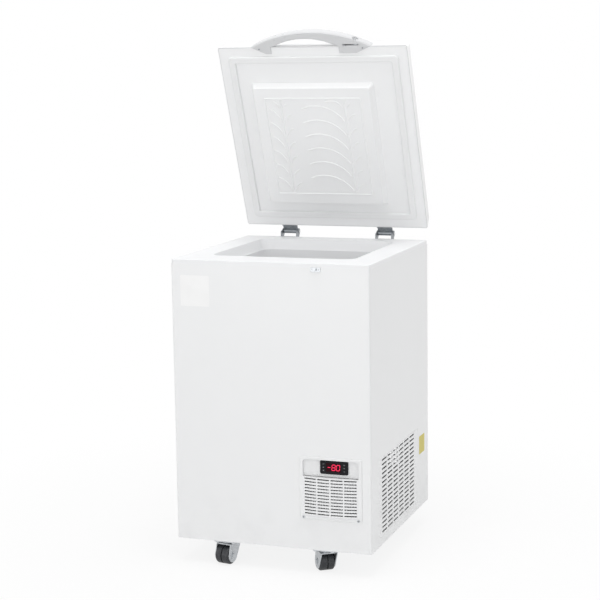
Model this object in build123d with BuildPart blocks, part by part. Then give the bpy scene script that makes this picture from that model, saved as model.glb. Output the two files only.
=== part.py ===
# Chest ultra low temperature freezer, lid open, standing on four swivel casters.
# Origin on the floor under the middle of the overall plan. +X to the user's right, +Y to the back, +Z up.
from build123d import *
import math
import os

os.makedirs("parts", exist_ok=True)

# Cabinet, sizes in millimetres and angles in degrees
cabinet_width = 550
cabinet_depth = 560
cabinet_height = 750
sheet = 1.2
bend_radius = 5
seat_gap = 0.2
overrun = 3
compartment_height = 256
screw_radius = 2
screw_head_radius = 4
screw_head_height = 1.6

# Insulated well
side_insulation = 87
front_insulation = 111
rear_insulation = 81
floor_insulation = 66
throat_flare = 14
throat_slope = 28
throat_skirt = 21
throat_corner = 34
liner_step = 3
liner_sheet = 1
liner_corner = 22
liner_floor_radius = 8
liner_flange = 12

# Collar
collar_height = 12
collar_wall = 3
collar_corner = 8
collar_tongue = 14
collar_edge_radius = 2

# Lid
lid_open_angle = 68
lid_height = 52
lid_gap = 6.5
lid_wall = 2.5
lid_draft = 7
lid_corner = 6
lid_top_radius = 9
lid_top_corner = 12
hinge_offset = 22
hinge_rise = 13
lid_setback = 24
gasket_inset = 28
gasket_width = 19
gasket_clearance = 0.6
gasket_corner = 12
gasket_lip_radius = 2
plug_front_inset = 107
plug_rear_inset = 74
plug_side_inset = 95
plug_left_shift = 12
plug_height = 18
plug_slope = 10
plug_corner = 10
plug_face_corner = 6
pan_sheet = 1.6

# Stiffening ribs pressed into the lid pan
rib_width = 4
rib_height = 2
rib_edge = 1.2
rib_gap = 3
border_inset = 28
border_corner = 4
stem_share = 0.66
stem_margin = 3
leaf_count = 7
leaf_end_share = 2 / 3
leaf_top_share = 0.4
leaf_reach_share = 0.64
leaf_fall_share = 0.88
twig_width = 3
twig_reach = 19
twig_fall_share = 0.5
rib_bow_share = 0.2

# Lid handle
handle_span = 350
handle_reach = 43
handle_height = 24
handle_drop = 3
handle_edge = 3
handle_screw_inset = 25
handle_screw_setback = 5
handle_screw_radius = 1.6
handle_screw_head_radius = 3
handle_screw_head_height = 1
grip_left = -116
grip_right = 82
grip_depth = 22
pad_reach = 20
pad_slant = 44

# Lock
lock_x = 130
lock_rise = 5
barrel_radius = 8
barrel_wall = 2.5
running_gap = 0.05
key_slot_length = 6
key_slot_width = 1.6
key_slot_depth = 4
hook_sheet = 2.5
hook_standoff = 3
hook_hub_radius = 8.5
hook_band = 5
hook_clearance = 0.8
hook_start = 160
hook_sweep = 44
hook_web_sweep = 13
lock_pocket_gap = 0.9
barrel_proud = 1

# Keeper
strike_width = 27
strike_height = 11
strike_sheet = 1.5
strike_drop = 16
stud_radius = 2
stud_reach = 6
stud_head_radius = 3
stud_head_height = 1
strike_screw_spacing = 19
strike_screw_radius = 1.5
strike_screw_head_radius = 2.6
strike_screw_head_height = 0.8

# Hinges
hinge_x = 145
hinge_width = 50
hinge_sheet = 2.5
hinge_plate_drop = 62
hinge_ear_radius = 9
hinge_pin_radius = 3
hinge_pin_head_radius = 5
hinge_pin_head_height = 2
leaf_knuckle_radius = 6
leaf_side_gap = 0.5
leaf_height = 34
leaf_screw_x = 13
hinge_screw_spacing_x = 32
hinge_screw_spacing_z = 24
hinge_screw_radius = 2.4
hinge_screw_head_radius = 4.2
hinge_screw_head_height = 1.8

# Front control panel and its bulged grille
panel_x = 165
panel_z = 168
panel_width = 171
panel_height = 169
panel_proud = 2.5
panel_corner = 5
panel_edge = 1.2
panel_opening_margin = 7
panel_wall = 2.5
recess_depth = 7
recess_width = 154
recess_height = 50
recess_corner = 9
recess_top_margin = 7
grille_width = 154
grille_height = 104
grille_bottom_margin = 12
grille_bulge = 8
front_slot_columns = 4
front_slot_rows = 12
front_slot_pitch_x = 36.8
front_slot_pitch_z = 8.5
front_slot_length = 33
front_slot_height = 3.4
panel_screw_inset_x = 10
panel_screw_inset_z = 5.5

# Temperature controller
bezel_x = 173.5
bezel_z = 226.5
bezel_width = 77
bezel_height = 37
bezel_proud = 4
bezel_corner = 5
bezel_edge = 1
case_width = 71
case_height = 29
case_depth = 58
window_x = -1
window_width = 41
window_height = 23
window_depth = 1.4
window_sheet = 1
key_x = 28.5
key_pitch = 8.6
key_width = 8
key_height = 5
key_corner = 1
key_gap = 0.35
key_proud = 0.8
key_depth = 3
key_travel = 0.6

# Side vent panel
vent_panel_front = 77
vent_panel_width = 372
vent_panel_bottom = 24
vent_panel_height = 212
vent_border = 6
vent_seam = 0.4
vent_columns = 6
vent_rows = 17
vent_first_column = 120
vent_first_row = 34
vent_pitch_y = 53.6
vent_pitch_z = 12.2
vent_length = 45
vent_slot_height = 5.2

# Base tray and compartment deck
tray_sheet = 1.5
tray_flange = 17
deck_flange = 12

# Rear panel
rear_field_columns = 2
rear_field_rows = 12
rear_slot_length = 110
rear_slot_height = 5
rear_pitch_x = 132
rear_pitch_z = 13
rear_field_x = 70
rear_field_bottom = 40

# Mains inlet
inlet_x = -190
inlet_z = 60
inlet_width = 36
inlet_height = 28
inlet_flange = 2.5
inlet_body_width = 28
inlet_body_height = 20
inlet_body_depth = 26
inlet_socket_width = 24
inlet_socket_height = 16
inlet_socket_depth = 18
inlet_blade_width = 2
inlet_blade_height = 6
inlet_blade_reach = 11
inlet_blade_spacing = 7

# Compressor
compressor_x = 140
compressor_y = 70
can_radius = 74
can_height = 168
can_dome_radius = 34
can_seam_height = 66
can_seam_reach = 4
can_seam_thickness = 4
can_wall = 3.5
pump_radius = 50
pump_height = 105
foot_plate_length = 172
foot_plate_width = 110
foot_plate_sheet = 3
foot_spacing_x = 146
foot_spacing_y = 84
grommet_radius = 11
grommet_height = 12
grommet_neck_radius = 6
grommet_top_radius = 9
grommet_top_height = 3
terminal_width = 52
terminal_height = 58
terminal_depth = 30
terminal_corner = 4
terminal_rise = 105

# Condenser and fan
condenser_front_gap = 18
condenser_width = 160
condenser_height = 170
condenser_depth = 44
condenser_lift = 12
condenser_end_sheet = 1.5
fin_count = 22
fin_groove = 4
fin_groove_depth = 10
bend_count = 4
bend_tube_radius = 4
bend_pitch = 38
bend_span = 16
shroud_gap = 6
shroud_sheet = 1.5
shroud_opening_radius = 68
shroud_ring_length = 26
motor_radius = 21
motor_length = 40
motor_arm_width = 12
motor_arm_sheet = 2
motor_shaft_radius = 3
motor_shaft_length = 18
fan_tip_gap = 4
fan_hub_radius = 19
fan_hub_length = 12
fan_blades = 5
fan_blade_chord = 46
fan_root_chord = 20
fan_blade_sheet = 1.5
fan_blade_pitch = 28
fan_bore_depth = 9

# Refrigerant tubes
tube_radius = 3
tube_bend = 14
tube_run_x = 65
tube_run_y = -60
tube_level = 120
capillary_radius = 1.5
drier_radius = 9
drier_length = 80
drier_neck_radius = 4.5
drier_neck_length = 10
drier_x = 38
drier_front = -120

# Evaporator tube round the well
evaporator_loops = 7
evaporator_bottom = 40
evaporator_top = 67
evaporator_width = 8
evaporator_thickness = 6
evaporator_break = 14
probe_radius = 3
probe_length = 40
probe_loop = 4

# Electrical box
box_x = -165
box_y = 40
box_width = 130
box_depth = 170
box_height = 120
box_wall = 2
box_corner = 4
box_cover_lip = 8

# Casters
caster_height = 66
caster_x = 140
caster_inset = 33
caster_trail = 14
wheel_radius = 25
wheel_width = 40
wheel_groove = 3
wheel_groove_depth = 4
wheel_shoulder = 5
wheel_dish_radius = 16
wheel_dish_depth = 3
wheel_hub_radius = 8
wheel_side_gap = 0.8
wheel_bore_radius = 4.05
axle_radius = 4
axle_head_radius = 6
axle_head_height = 2
fork_sheet = 2.5
fork_top = 57
fork_length = 48
fork_tip_radius = 19
fork_boss_radius = 10
fork_boss_height = 1
plate_size = 62
plate_sheet = 2.5
plate_corner = 6
race_radius = 21
race_gap = 0.4
kingpin_radius = 5
kingpin_running_gap = 0.08
kingpin_head_radius = 8
kingpin_head_height = 2
caster_bolt_spacing = 46
caster_bolt_radius = 3
caster_bolt_head_radius = 5.5
caster_bolt_head_height = 3
caster_bolt_end = 4
caster_turns = {"front_left": 168, "front_right": 36, "rear_left": 25, "rear_right": -20}

# Worked-out sizes
lid_width = cabinet_width
lid_depth = cabinet_depth + hinge_offset - lid_setback
lid_bottom = lid_gap - hinge_rise
lid_top = lid_bottom + lid_height
lid_front = -lid_setback - lid_depth
lid_middle = -lid_setback - lid_depth / 2
rim_height = cabinet_height + collar_height
tub_width = cabinet_width - 2 * side_insulation
tub_depth = cabinet_depth - front_insulation - rear_insulation
tub_y = (front_insulation - rear_insulation) / 2
throat_bottom = rim_height - throat_slope - throat_skirt
tub_floor = compartment_height + floor_insulation
coil_run = throat_bottom - tub_floor - evaporator_bottom - evaporator_top - evaporator_width
evaporator_pitch = coil_run / (evaporator_loops - 1)
inside_width = cabinet_width - 2 * sheet
inside_depth = cabinet_depth - 2 * sheet
open_sine = math.sin(math.radians(lid_open_angle))
open_cosine = math.cos(math.radians(lid_open_angle))
round_y = (lid_setback + lid_top_radius) * open_cosine
round_z = (lid_top - lid_top_radius) * open_sine
back_reach = cabinet_depth / 2 + hinge_offset - round_y + round_z + lid_top_radius
front_reach = cabinet_depth / 2 + seat_gap + panel_proud + grille_bulge
cabinet_y = (front_reach - back_reach) / 2

# The cabinet frame has its origin at the middle of the cabinet's underside.
cabinet = Plane((0, cabinet_y, caster_height))


def placed(frame, origin, x_dir=(1, 0, 0), z_dir=(0, 0, 1)):
    """A plane whose origin and directions are given inside another plane."""
    zero = frame.from_local_coords(Vector(0, 0, 0))
    return Plane(
        origin=frame.from_local_coords(Vector(*origin)),
        x_dir=frame.from_local_coords(Vector(*x_dir)) - zero,
        z_dir=frame.from_local_coords(Vector(*z_dir)) - zero,
    )


def front_face(frame, x, y, z):
    """A sketch plane that looks forward, with its second direction up."""
    return placed(frame, (x, y, z), (1, 0, 0), (0, -1, 0))


def right_face(frame, x, y, z):
    """A sketch plane that looks to the right, with its second direction up."""
    return placed(frame, (x, y, z), (0, 1, 0), (1, 0, 0))


def rear_face(frame, x, y, z):
    """A sketch plane that looks backward, with its second direction up."""
    return placed(frame, (x, y, z), (-1, 0, 0), (0, 1, 0))


def save(part, name):
    """Label a finished piece and write it out."""
    part.label = name
    export_step(part, f"parts/{name}.step")


# The lid frame lies on the hinge axis and tilts with the open lid.
axis_y = cabinet_depth / 2 + hinge_offset
axis_z = rim_height + hinge_rise
hinge_axis_origin = cabinet.from_local_coords(
    Vector(0, axis_y, axis_z)
)
lid = Plane(hinge_axis_origin, x_dir=(1, 0, 0), z_dir=(0, open_sine, open_cosine))

# Cabinet wrap: one folded sheet for the front and both sides
with BuildPart() as cabinet_wrap:
    with BuildSketch(cabinet):
        Rectangle(cabinet_width, cabinet_depth)
        front_corners = vertices().group_by(Axis.Y)[0]
        fillet(front_corners, bend_radius)
    extrude(amount=cabinet_height)
    with BuildSketch(placed(cabinet, (0, sheet, 0))):
        Rectangle(inside_width, cabinet_depth)
        inner_corners = vertices().group_by(Axis.Y)[0]
        fillet(inner_corners, bend_radius - sheet)
    extrude(amount=cabinet_height, mode=Mode.SUBTRACT)
    panel_opening_width = panel_width - 2 * panel_opening_margin
    panel_opening_height = panel_height - 2 * panel_opening_margin
    with BuildSketch(front_face(cabinet, panel_x, -cabinet_depth / 2, panel_z)):
        Rectangle(panel_opening_width, panel_opening_height)
    extrude(amount=-sheet - overrun, mode=Mode.SUBTRACT)
    vent_middle_y = -cabinet_depth / 2 + vent_panel_front + vent_panel_width / 2
    vent_middle_z = vent_panel_bottom + vent_panel_height / 2
    with BuildSketch(right_face(cabinet, cabinet_width / 2, vent_middle_y, vent_middle_z)):
        Rectangle(vent_panel_width, vent_panel_height)
    extrude(amount=-sheet - overrun, mode=Mode.SUBTRACT)
save(cabinet_wrap.part, "cabinet_wrap")

# Side vent panel: a slotted plate flush in the right side, with a joggled border behind the sheet
with BuildPart() as side_vent_grille:
    with BuildSketch(right_face(cabinet, cabinet_width / 2, vent_middle_y, vent_middle_z)):
        Rectangle(vent_panel_width - 2 * vent_seam, vent_panel_height - 2 * vent_seam)
    extrude(amount=-sheet - seat_gap)
    with BuildSketch(right_face(cabinet, cabinet_width / 2 - sheet - seat_gap, vent_middle_y, vent_middle_z)):
        Rectangle(vent_panel_width + 2 * vent_border, vent_panel_height + 2 * vent_border)
    extrude(amount=-sheet)
    vent_slots_y = -cabinet_depth / 2 + vent_first_column + (vent_columns - 1) * vent_pitch_y / 2
    vent_slots_z = vent_first_row + (vent_rows - 1) * vent_pitch_z / 2
    with BuildSketch(right_face(cabinet, cabinet_width / 2, vent_slots_y, vent_slots_z)):
        with GridLocations(vent_pitch_y, vent_pitch_z, vent_columns, vent_rows):
            Rectangle(vent_length, vent_slot_height)
    extrude(amount=-3 * sheet, mode=Mode.SUBTRACT)
save(side_vent_grille.part, "side_vent_grille")

# Base tray: flanged floor pan
tray_width = inside_width - 2 * seat_gap
tray_depth = inside_depth - 2 * seat_gap
with BuildPart() as base_tray:
    with BuildSketch(cabinet):
        RectangleRounded(tray_width, tray_depth, bend_radius)
    extrude(amount=tray_flange)
    with BuildSketch(cabinet.offset(tray_sheet)):
        RectangleRounded(tray_width - 2 * tray_sheet, tray_depth - 2 * tray_sheet, bend_radius - tray_sheet)
    extrude(amount=tray_flange, mode=Mode.SUBTRACT)
    for side_x in (-caster_x, caster_x):
        for side_y in (-cabinet_depth / 2 + caster_inset, cabinet_depth / 2 - caster_inset):
            with BuildSketch(placed(cabinet, (side_x, side_y, 0))):
                with GridLocations(caster_bolt_spacing, caster_bolt_spacing, 2, 2):
                    Circle(caster_bolt_radius + seat_gap)
            extrude(amount=tray_sheet + overrun, both=True, mode=Mode.SUBTRACT)
save(base_tray.part, "base_tray")

# Compartment deck: ceiling of the machine compartment, with flanges turned down at both sides
with BuildPart() as compartment_deck:
    with BuildSketch(front_face(cabinet, 0, tray_depth / 2, compartment_height)):
        with BuildLine():
            half_deck = tray_width / 2
            Polyline(
                (-half_deck, -deck_flange),
                (-half_deck, 0),
                (half_deck, 0),
                (half_deck, -deck_flange),
                (half_deck - sheet, -deck_flange),
                (half_deck - sheet, -sheet),
                (-half_deck + sheet, -sheet),
                (-half_deck + sheet, -deck_flange),
                close=True,
            )
        make_face()
    extrude(amount=tray_depth)
    with BuildSketch(cabinet.offset(compartment_height - deck_flange)):
        RectangleRounded(tray_width, tray_depth, bend_radius)
    extrude(amount=deck_flange, mode=Mode.INTERSECT)
save(compartment_deck.part, "compartment_deck")

# Rear panel: closes the back between the two sides, slotted over the machine compartment
with BuildPart() as rear_panel:
    with BuildSketch(rear_face(cabinet, 0, cabinet_depth / 2, cabinet_height / 2)):
        Rectangle(inside_width - 2 * seat_gap, cabinet_height)
    extrude(amount=-sheet)
    rear_rows_z = rear_field_bottom + (rear_field_rows - 1) * rear_pitch_z / 2
    with BuildSketch(rear_face(cabinet, rear_field_x, cabinet_depth / 2, rear_rows_z)):
        with GridLocations(rear_pitch_x, rear_pitch_z, rear_field_columns, rear_field_rows):
            Rectangle(rear_slot_length, rear_slot_height)
    extrude(amount=-sheet - overrun, mode=Mode.SUBTRACT)
    with BuildSketch(rear_face(cabinet, inlet_x, cabinet_depth / 2, inlet_z)):
        Rectangle(inlet_body_width + 2 * seat_gap, inlet_body_height + 2 * seat_gap)
    extrude(amount=-sheet - overrun, mode=Mode.SUBTRACT)
save(rear_panel.part, "rear_panel")

# Throat outlines, from the rim down: flared mouth, foot of the slope, well
throat_levels = (rim_height, rim_height - throat_slope, throat_bottom)
throat_steps = (throat_flare, liner_step, 0)


def throat_form(wall, ledge=0, top_extra=0):
    """The flared mouth of the well as a solid, grown outward by wall."""
    with BuildPart() as form:
        top, middle, bottom = throat_levels
        for level, step, corner in zip((top, middle), throat_steps, (throat_corner, liner_corner)):
            with BuildSketch(placed(cabinet, (0, tub_y, level))):
                grown = 2 * (step + wall)
                RectangleRounded(tub_width + grown, tub_depth + grown, corner + wall)
        loft(ruled=True)
        with BuildSketch(placed(cabinet, (0, tub_y, bottom))):
            grown = 2 * (wall + ledge)
            RectangleRounded(tub_width + grown, tub_depth + grown, liner_corner + wall + ledge)
        extrude(amount=middle - bottom)
        if top_extra:
            with BuildSketch(placed(cabinet, (0, tub_y, top))):
                grown = 2 * (throat_flare + wall)
                RectangleRounded(tub_width + grown, tub_depth + grown, throat_corner + wall)
            extrude(amount=top_extra)
    return form.part


throat_outer = throat_form(collar_wall, ledge=liner_step)
throat_inner = throat_form(0, top_extra=overrun)

# Top collar: moulded rim with the stepped throat and a tongue inside the wrap
with BuildPart() as top_collar:
    with BuildSketch(cabinet.offset(cabinet_height)):
        RectangleRounded(cabinet_width, cabinet_depth, collar_corner)
    extrude(amount=collar_height)
    fillet(faces().sort_by(Axis.Z)[-1].edges(), collar_edge_radius)
    with BuildSketch(cabinet.offset(cabinet_height)):
        RectangleRounded(cabinet_width - 2 * collar_wall, cabinet_depth - 2 * collar_wall, collar_corner)
    extrude(amount=collar_height - collar_wall, mode=Mode.SUBTRACT)
    tongue_width = inside_width - 2 * seat_gap
    tongue_depth = inside_depth - 2 * seat_gap
    with BuildSketch(cabinet.offset(cabinet_height - collar_tongue)):
        RectangleRounded(tongue_width, tongue_depth, bend_radius)
        inner_width = tongue_width - 2 * collar_wall
        inner_depth = tongue_depth - 2 * collar_wall
        RectangleRounded(inner_width, inner_depth, collar_wall, mode=Mode.SUBTRACT)
    extrude(amount=collar_tongue + collar_height - collar_wall)
    add(throat_outer)
    add(throat_inner, mode=Mode.SUBTRACT)
save(top_collar.part, "top_collar")

# Inner liner: the well, a deep tray with rounded corners and a flange under the collar
liner_top = throat_bottom - seat_gap
with BuildPart() as liner_hollow:
    with BuildSketch(placed(cabinet, (0, tub_y, tub_floor))):
        RectangleRounded(tub_width, tub_depth, liner_corner)
    extrude(amount=liner_top - tub_floor + overrun)
    fillet(faces().sort_by(Axis.Z)[0].edges(), liner_floor_radius)
with BuildPart() as inner_liner:
    with BuildSketch(placed(cabinet, (0, tub_y, tub_floor - liner_sheet))):
        outer = 2 * liner_sheet
        RectangleRounded(tub_width + outer, tub_depth + outer, liner_corner + liner_sheet)
    extrude(amount=liner_top - tub_floor + liner_sheet)
    fillet(faces().sort_by(Axis.Z)[0].edges(), liner_floor_radius + liner_sheet)
    with BuildSketch(placed(cabinet, (0, tub_y, liner_top - liner_sheet))):
        grown = 2 * liner_flange
        RectangleRounded(tub_width + grown, tub_depth + grown, liner_corner + liner_flange)
    extrude(amount=liner_sheet)
    add(liner_hollow.part, mode=Mode.SUBTRACT)
save(inner_liner.part, "inner_liner")

# Evaporator: flattened tube in loops round the well, each loop stepped up to the next at the back
with BuildPart() as evaporator_coil:
    for loop in range(evaporator_loops):
        level = tub_floor + evaporator_bottom + loop * evaporator_pitch
        with BuildSketch(placed(cabinet, (0, tub_y, level))):
            inner = 2 * (liner_sheet + seat_gap)
            outer = inner + 2 * evaporator_thickness
            RectangleRounded(tub_width + outer, tub_depth + outer, liner_corner + outer / 2)
            RectangleRounded(tub_width + inner, tub_depth + inner, liner_corner + inner / 2, mode=Mode.SUBTRACT)
            if loop < evaporator_loops - 1:
                side = 1 if loop % 2 else -1
                with Locations((side * evaporator_break, tub_depth / 2)):
                    Rectangle(evaporator_width, 2 * outer, mode=Mode.SUBTRACT)
        extrude(amount=evaporator_width)
    back_y = tub_y + tub_depth / 2 + liner_sheet + seat_gap + evaporator_thickness / 2
    for loop in range(evaporator_loops - 1):
        side = 1 if loop % 2 else -1
        level = tub_floor + evaporator_bottom + loop * evaporator_pitch
        riser_x = side * (evaporator_break + evaporator_width)
        with BuildSketch(placed(cabinet, (riser_x, back_y, level + evaporator_width))):
            Rectangle(evaporator_width, evaporator_thickness)
        extrude(amount=evaporator_pitch - evaporator_width)
save(evaporator_coil.part, "evaporator_coil")

# Temperature probe: a small sleeve lying against the well's left wall
probe_x = -tub_width / 2 - liner_sheet - seat_gap - probe_radius
probe_z = tub_floor + evaporator_bottom + evaporator_width / 2 + (probe_loop + 1 / 2) * evaporator_pitch
with BuildPart() as temperature_probe:
    with BuildSketch(front_face(cabinet, probe_x, tub_y + probe_length / 2, probe_z)):
        Circle(probe_radius)
    extrude(amount=probe_length)
save(temperature_probe.part, "temperature_probe")

# Foam: fills everything between the wrap, the deck, the collar and the well
with BuildPart() as foam_insulation:
    foam_bottom = compartment_height + seat_gap
    foam_top = rim_height - collar_wall - seat_gap
    with BuildSketch(cabinet.offset(foam_bottom)):
        RectangleRounded(inside_width - 2 * seat_gap, inside_depth - 2 * seat_gap, bend_radius)
    extrude(amount=cabinet_height - collar_tongue - seat_gap - foam_bottom)
    with BuildSketch(cabinet.offset(foam_bottom)):
        core_width = inner_width - 2 * seat_gap
        core_depth = inner_depth - 2 * seat_gap
        RectangleRounded(core_width, core_depth, collar_wall)
    extrude(amount=foam_top - foam_bottom)
    with BuildSketch(placed(cabinet, (0, tub_y, tub_floor - liner_sheet - seat_gap))):
        sleeve = 2 * (liner_sheet + 2 * seat_gap)
        RectangleRounded(tub_width + sleeve, tub_depth + sleeve, liner_corner + sleeve / 2)
    extrude(amount=rim_height - tub_floor, mode=Mode.SUBTRACT)
    with BuildSketch(placed(cabinet, (0, tub_y, liner_top - liner_sheet - seat_gap))):
        sleeve = 2 * (liner_flange + seat_gap)
        RectangleRounded(tub_width + sleeve, tub_depth + sleeve, liner_corner + sleeve / 2)
    extrude(amount=rim_height - liner_top, mode=Mode.SUBTRACT)
    with BuildSketch(placed(cabinet, (0, tub_y, throat_levels[1]))):
        sleeve = 2 * (throat_flare + collar_wall + seat_gap)
        RectangleRounded(tub_width + sleeve, tub_depth + sleeve, throat_corner)
    extrude(amount=throat_slope, mode=Mode.SUBTRACT)
    add(evaporator_coil.part, mode=Mode.SUBTRACT)
    add(temperature_probe.part, mode=Mode.SUBTRACT)
save(foam_insulation.part, "foam_insulation")

# Front control panel: flat frame, recess for the controller, bulged slotted field below it
panel_front_y = -cabinet_depth / 2 - seat_gap
recess_z = panel_z + panel_height / 2 - recess_top_margin - recess_height / 2
grille_z = panel_z - panel_height / 2 + grille_bottom_margin + grille_height / 2
with BuildPart() as front_grille:
    with BuildSketch(front_face(cabinet, panel_x, panel_front_y, panel_z)):
        RectangleRounded(panel_width, panel_height, panel_corner)
    extrude(amount=panel_proud)
    chamfer(faces().sort_by(Axis.Y)[0].edges(), panel_edge)
    with BuildSketch(front_face(cabinet, panel_x, panel_front_y, panel_z)):
        Rectangle(panel_opening_width - 2 * seat_gap, panel_opening_height - 2 * seat_gap)
    extrude(amount=-recess_depth + panel_proud - panel_wall)
    with BuildSketch(front_face(cabinet, panel_x, panel_front_y - panel_proud, recess_z)):
        RectangleRounded(recess_width, recess_height, recess_corner)
    extrude(amount=-recess_depth, mode=Mode.SUBTRACT)
    with BuildSketch(front_face(cabinet, panel_x, panel_front_y - panel_proud - overrun, grille_z)):
        Rectangle(grille_width, grille_height)
    extrude(amount=-recess_depth - panel_wall - 2 * overrun, mode=Mode.SUBTRACT)
    chord_y = panel_front_y - panel_proud + panel_wall
    half_grille = grille_width / 2
    outer_left = (-half_grille, -panel_wall)
    outer_right = (half_grille, -panel_wall)
    outer_peak = (0, -panel_wall - grille_bulge)
    with BuildSketch(placed(cabinet, (panel_x, chord_y, grille_z - grille_height / 2))):
        with BuildLine():
            ThreePointArc(outer_left, outer_peak, outer_right)
            Line(outer_right, (half_grille, 0))
            ThreePointArc((half_grille, 0), (0, -grille_bulge), (-half_grille, 0))
            Line((-half_grille, 0), outer_left)
        make_face()
    extrude(amount=grille_height)
    for shelf in (grille_z - grille_height / 2, grille_z + grille_height / 2 - panel_wall):
        with BuildSketch(placed(cabinet, (panel_x, chord_y, shelf))):
            with BuildLine():
                ThreePointArc(outer_left, outer_peak, outer_right)
                Polyline(outer_right, (half_grille, 0), (-half_grille, 0), outer_left)
            make_face()
        extrude(amount=panel_wall)
    with BuildSketch(front_face(cabinet, panel_x, chord_y + overrun, grille_z)):
        with GridLocations(front_slot_pitch_x, front_slot_pitch_z, front_slot_columns, front_slot_rows):
            Rectangle(front_slot_length, front_slot_height)
    extrude(amount=grille_bulge + panel_wall + 2 * overrun, mode=Mode.SUBTRACT)
    with BuildSketch(front_face(cabinet, bezel_x, panel_front_y, bezel_z)):
        Rectangle(case_width + 2 * seat_gap, case_height + 2 * seat_gap)
    extrude(amount=recess_depth + panel_wall + overrun, both=True, mode=Mode.SUBTRACT)
    screw_low = panel_z - panel_height / 2 + panel_screw_inset_z
    with BuildSketch(front_face(cabinet, panel_x, panel_front_y, screw_low)):
        with GridLocations(panel_width - 2 * panel_screw_inset_x, sheet, 2, 1):
            Circle(screw_radius + running_gap)
    extrude(amount=panel_proud + overrun, both=True, mode=Mode.SUBTRACT)
save(front_grille.part, "front_grille")


def screw(plane, radius, length, head_radius, head_height):
    """A pan-head screw whose head stands on the plane and whose shank runs down from it."""
    with BuildPart() as fastener:
        with BuildSketch(plane):
            Circle(head_radius)
        extrude(amount=head_height)
        with BuildSketch(plane):
            Circle(radius)
        extrude(amount=-length)
    return fastener.part


# Screws of the control panel
panel_screws = []
for side in (-1, 1):
    screw_x = panel_x + side * (panel_width / 2 - panel_screw_inset_x)
    screw_plane = front_face(cabinet, screw_x, panel_front_y - panel_proud - seat_gap, screw_low)
    panel_screws.append(screw(screw_plane, screw_radius, panel_proud, screw_head_radius, screw_head_height))
with BuildPart() as grille_screws:
    add(panel_screws)
save(grille_screws.part, "grille_screws")

# Temperature controller: bezel and body, with pockets for the window and six keys
recess_floor_y = panel_front_y - panel_proud + recess_depth
bezel_front_y = recess_floor_y - bezel_proud
key_places = [(side * key_x, row * key_pitch) for side in (-1, 1) for row in (1, 0, -1)]
with BuildPart() as controller_case:
    with BuildSketch(front_face(cabinet, bezel_x, recess_floor_y - seat_gap, bezel_z)):
        RectangleRounded(bezel_width, bezel_height, bezel_corner)
    extrude(amount=bezel_proud - seat_gap)
    chamfer(faces().sort_by(Axis.Y)[0].edges(), bezel_edge)
    with BuildSketch(front_face(cabinet, bezel_x, recess_floor_y - seat_gap, bezel_z)):
        Rectangle(case_width, case_height)
    extrude(amount=-case_depth)
    with BuildSketch(front_face(cabinet, bezel_x + window_x, bezel_front_y, bezel_z)):
        Rectangle(window_width, window_height)
    extrude(amount=-window_depth, mode=Mode.SUBTRACT)
    with BuildSketch(front_face(cabinet, bezel_x, bezel_front_y, bezel_z)):
        with Locations(*key_places):
            Rectangle(key_width + 2 * key_gap, key_height + 2 * key_gap)
    extrude(amount=-key_depth, mode=Mode.SUBTRACT)
save(controller_case.part, "controller_case")

# Display window: smoked pane seated in its pocket
with BuildPart() as display_window:
    with BuildSketch(front_face(cabinet, bezel_x + window_x, bezel_front_y + window_depth - seat_gap, bezel_z)):
        Rectangle(window_width - 2 * seat_gap, window_height - 2 * seat_gap)
    extrude(amount=window_sheet)
save(display_window.part, "display_window")

# Six keys, left column then right column, each a cap that is pressed straight in
key_names = ("key_set", "key_light", "key_defrost", "key_up", "key_down", "key_power")
key_length = key_depth - key_travel - 2 * seat_gap + key_proud
for key_name, (side_x, row_z) in zip(key_names, key_places):
    with BuildPart() as key_cap:
        with BuildSketch(front_face(cabinet, bezel_x + side_x, bezel_front_y - key_proud, bezel_z + row_z)):
            RectangleRounded(key_width, key_height, key_corner)
        extrude(amount=-key_length)
    save(key_cap.part, key_name)

# Strike plate: keeper for the lock hook, a small plate with a headed stud
strike_plane_y = -cabinet_depth / 2
strike_z = rim_height - strike_drop
with BuildPart() as strike_plate:
    with BuildSketch(front_face(cabinet, lock_x, strike_plane_y - seat_gap, strike_z)):
        RectangleRounded(strike_width, strike_height, strike_sheet)
        with GridLocations(strike_screw_spacing, strike_height, 2, 1):
            Circle(strike_screw_radius + running_gap, mode=Mode.SUBTRACT)
    extrude(amount=strike_sheet)
    with BuildSketch(front_face(cabinet, lock_x, strike_plane_y - strike_sheet, strike_z)):
        Circle(stud_radius)
    extrude(amount=stud_reach)
    with BuildSketch(front_face(cabinet, lock_x, strike_plane_y - strike_sheet - stud_reach, strike_z)):
        Circle(stud_head_radius)
    extrude(amount=stud_head_height)
save(strike_plate.part, "strike_plate")

keeper_screws = []
for side in (-1, 1):
    screw_x = lock_x + side * strike_screw_spacing / 2
    screw_plane = front_face(cabinet, screw_x, strike_plane_y - strike_sheet - 2 * seat_gap, strike_z)
    head = (strike_screw_head_radius, strike_screw_head_height)
    keeper_screws.append(screw(screw_plane, strike_screw_radius, strike_sheet, *head))
with BuildPart() as strike_screws:
    add(keeper_screws)
save(strike_screws.part, "strike_screws")

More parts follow.
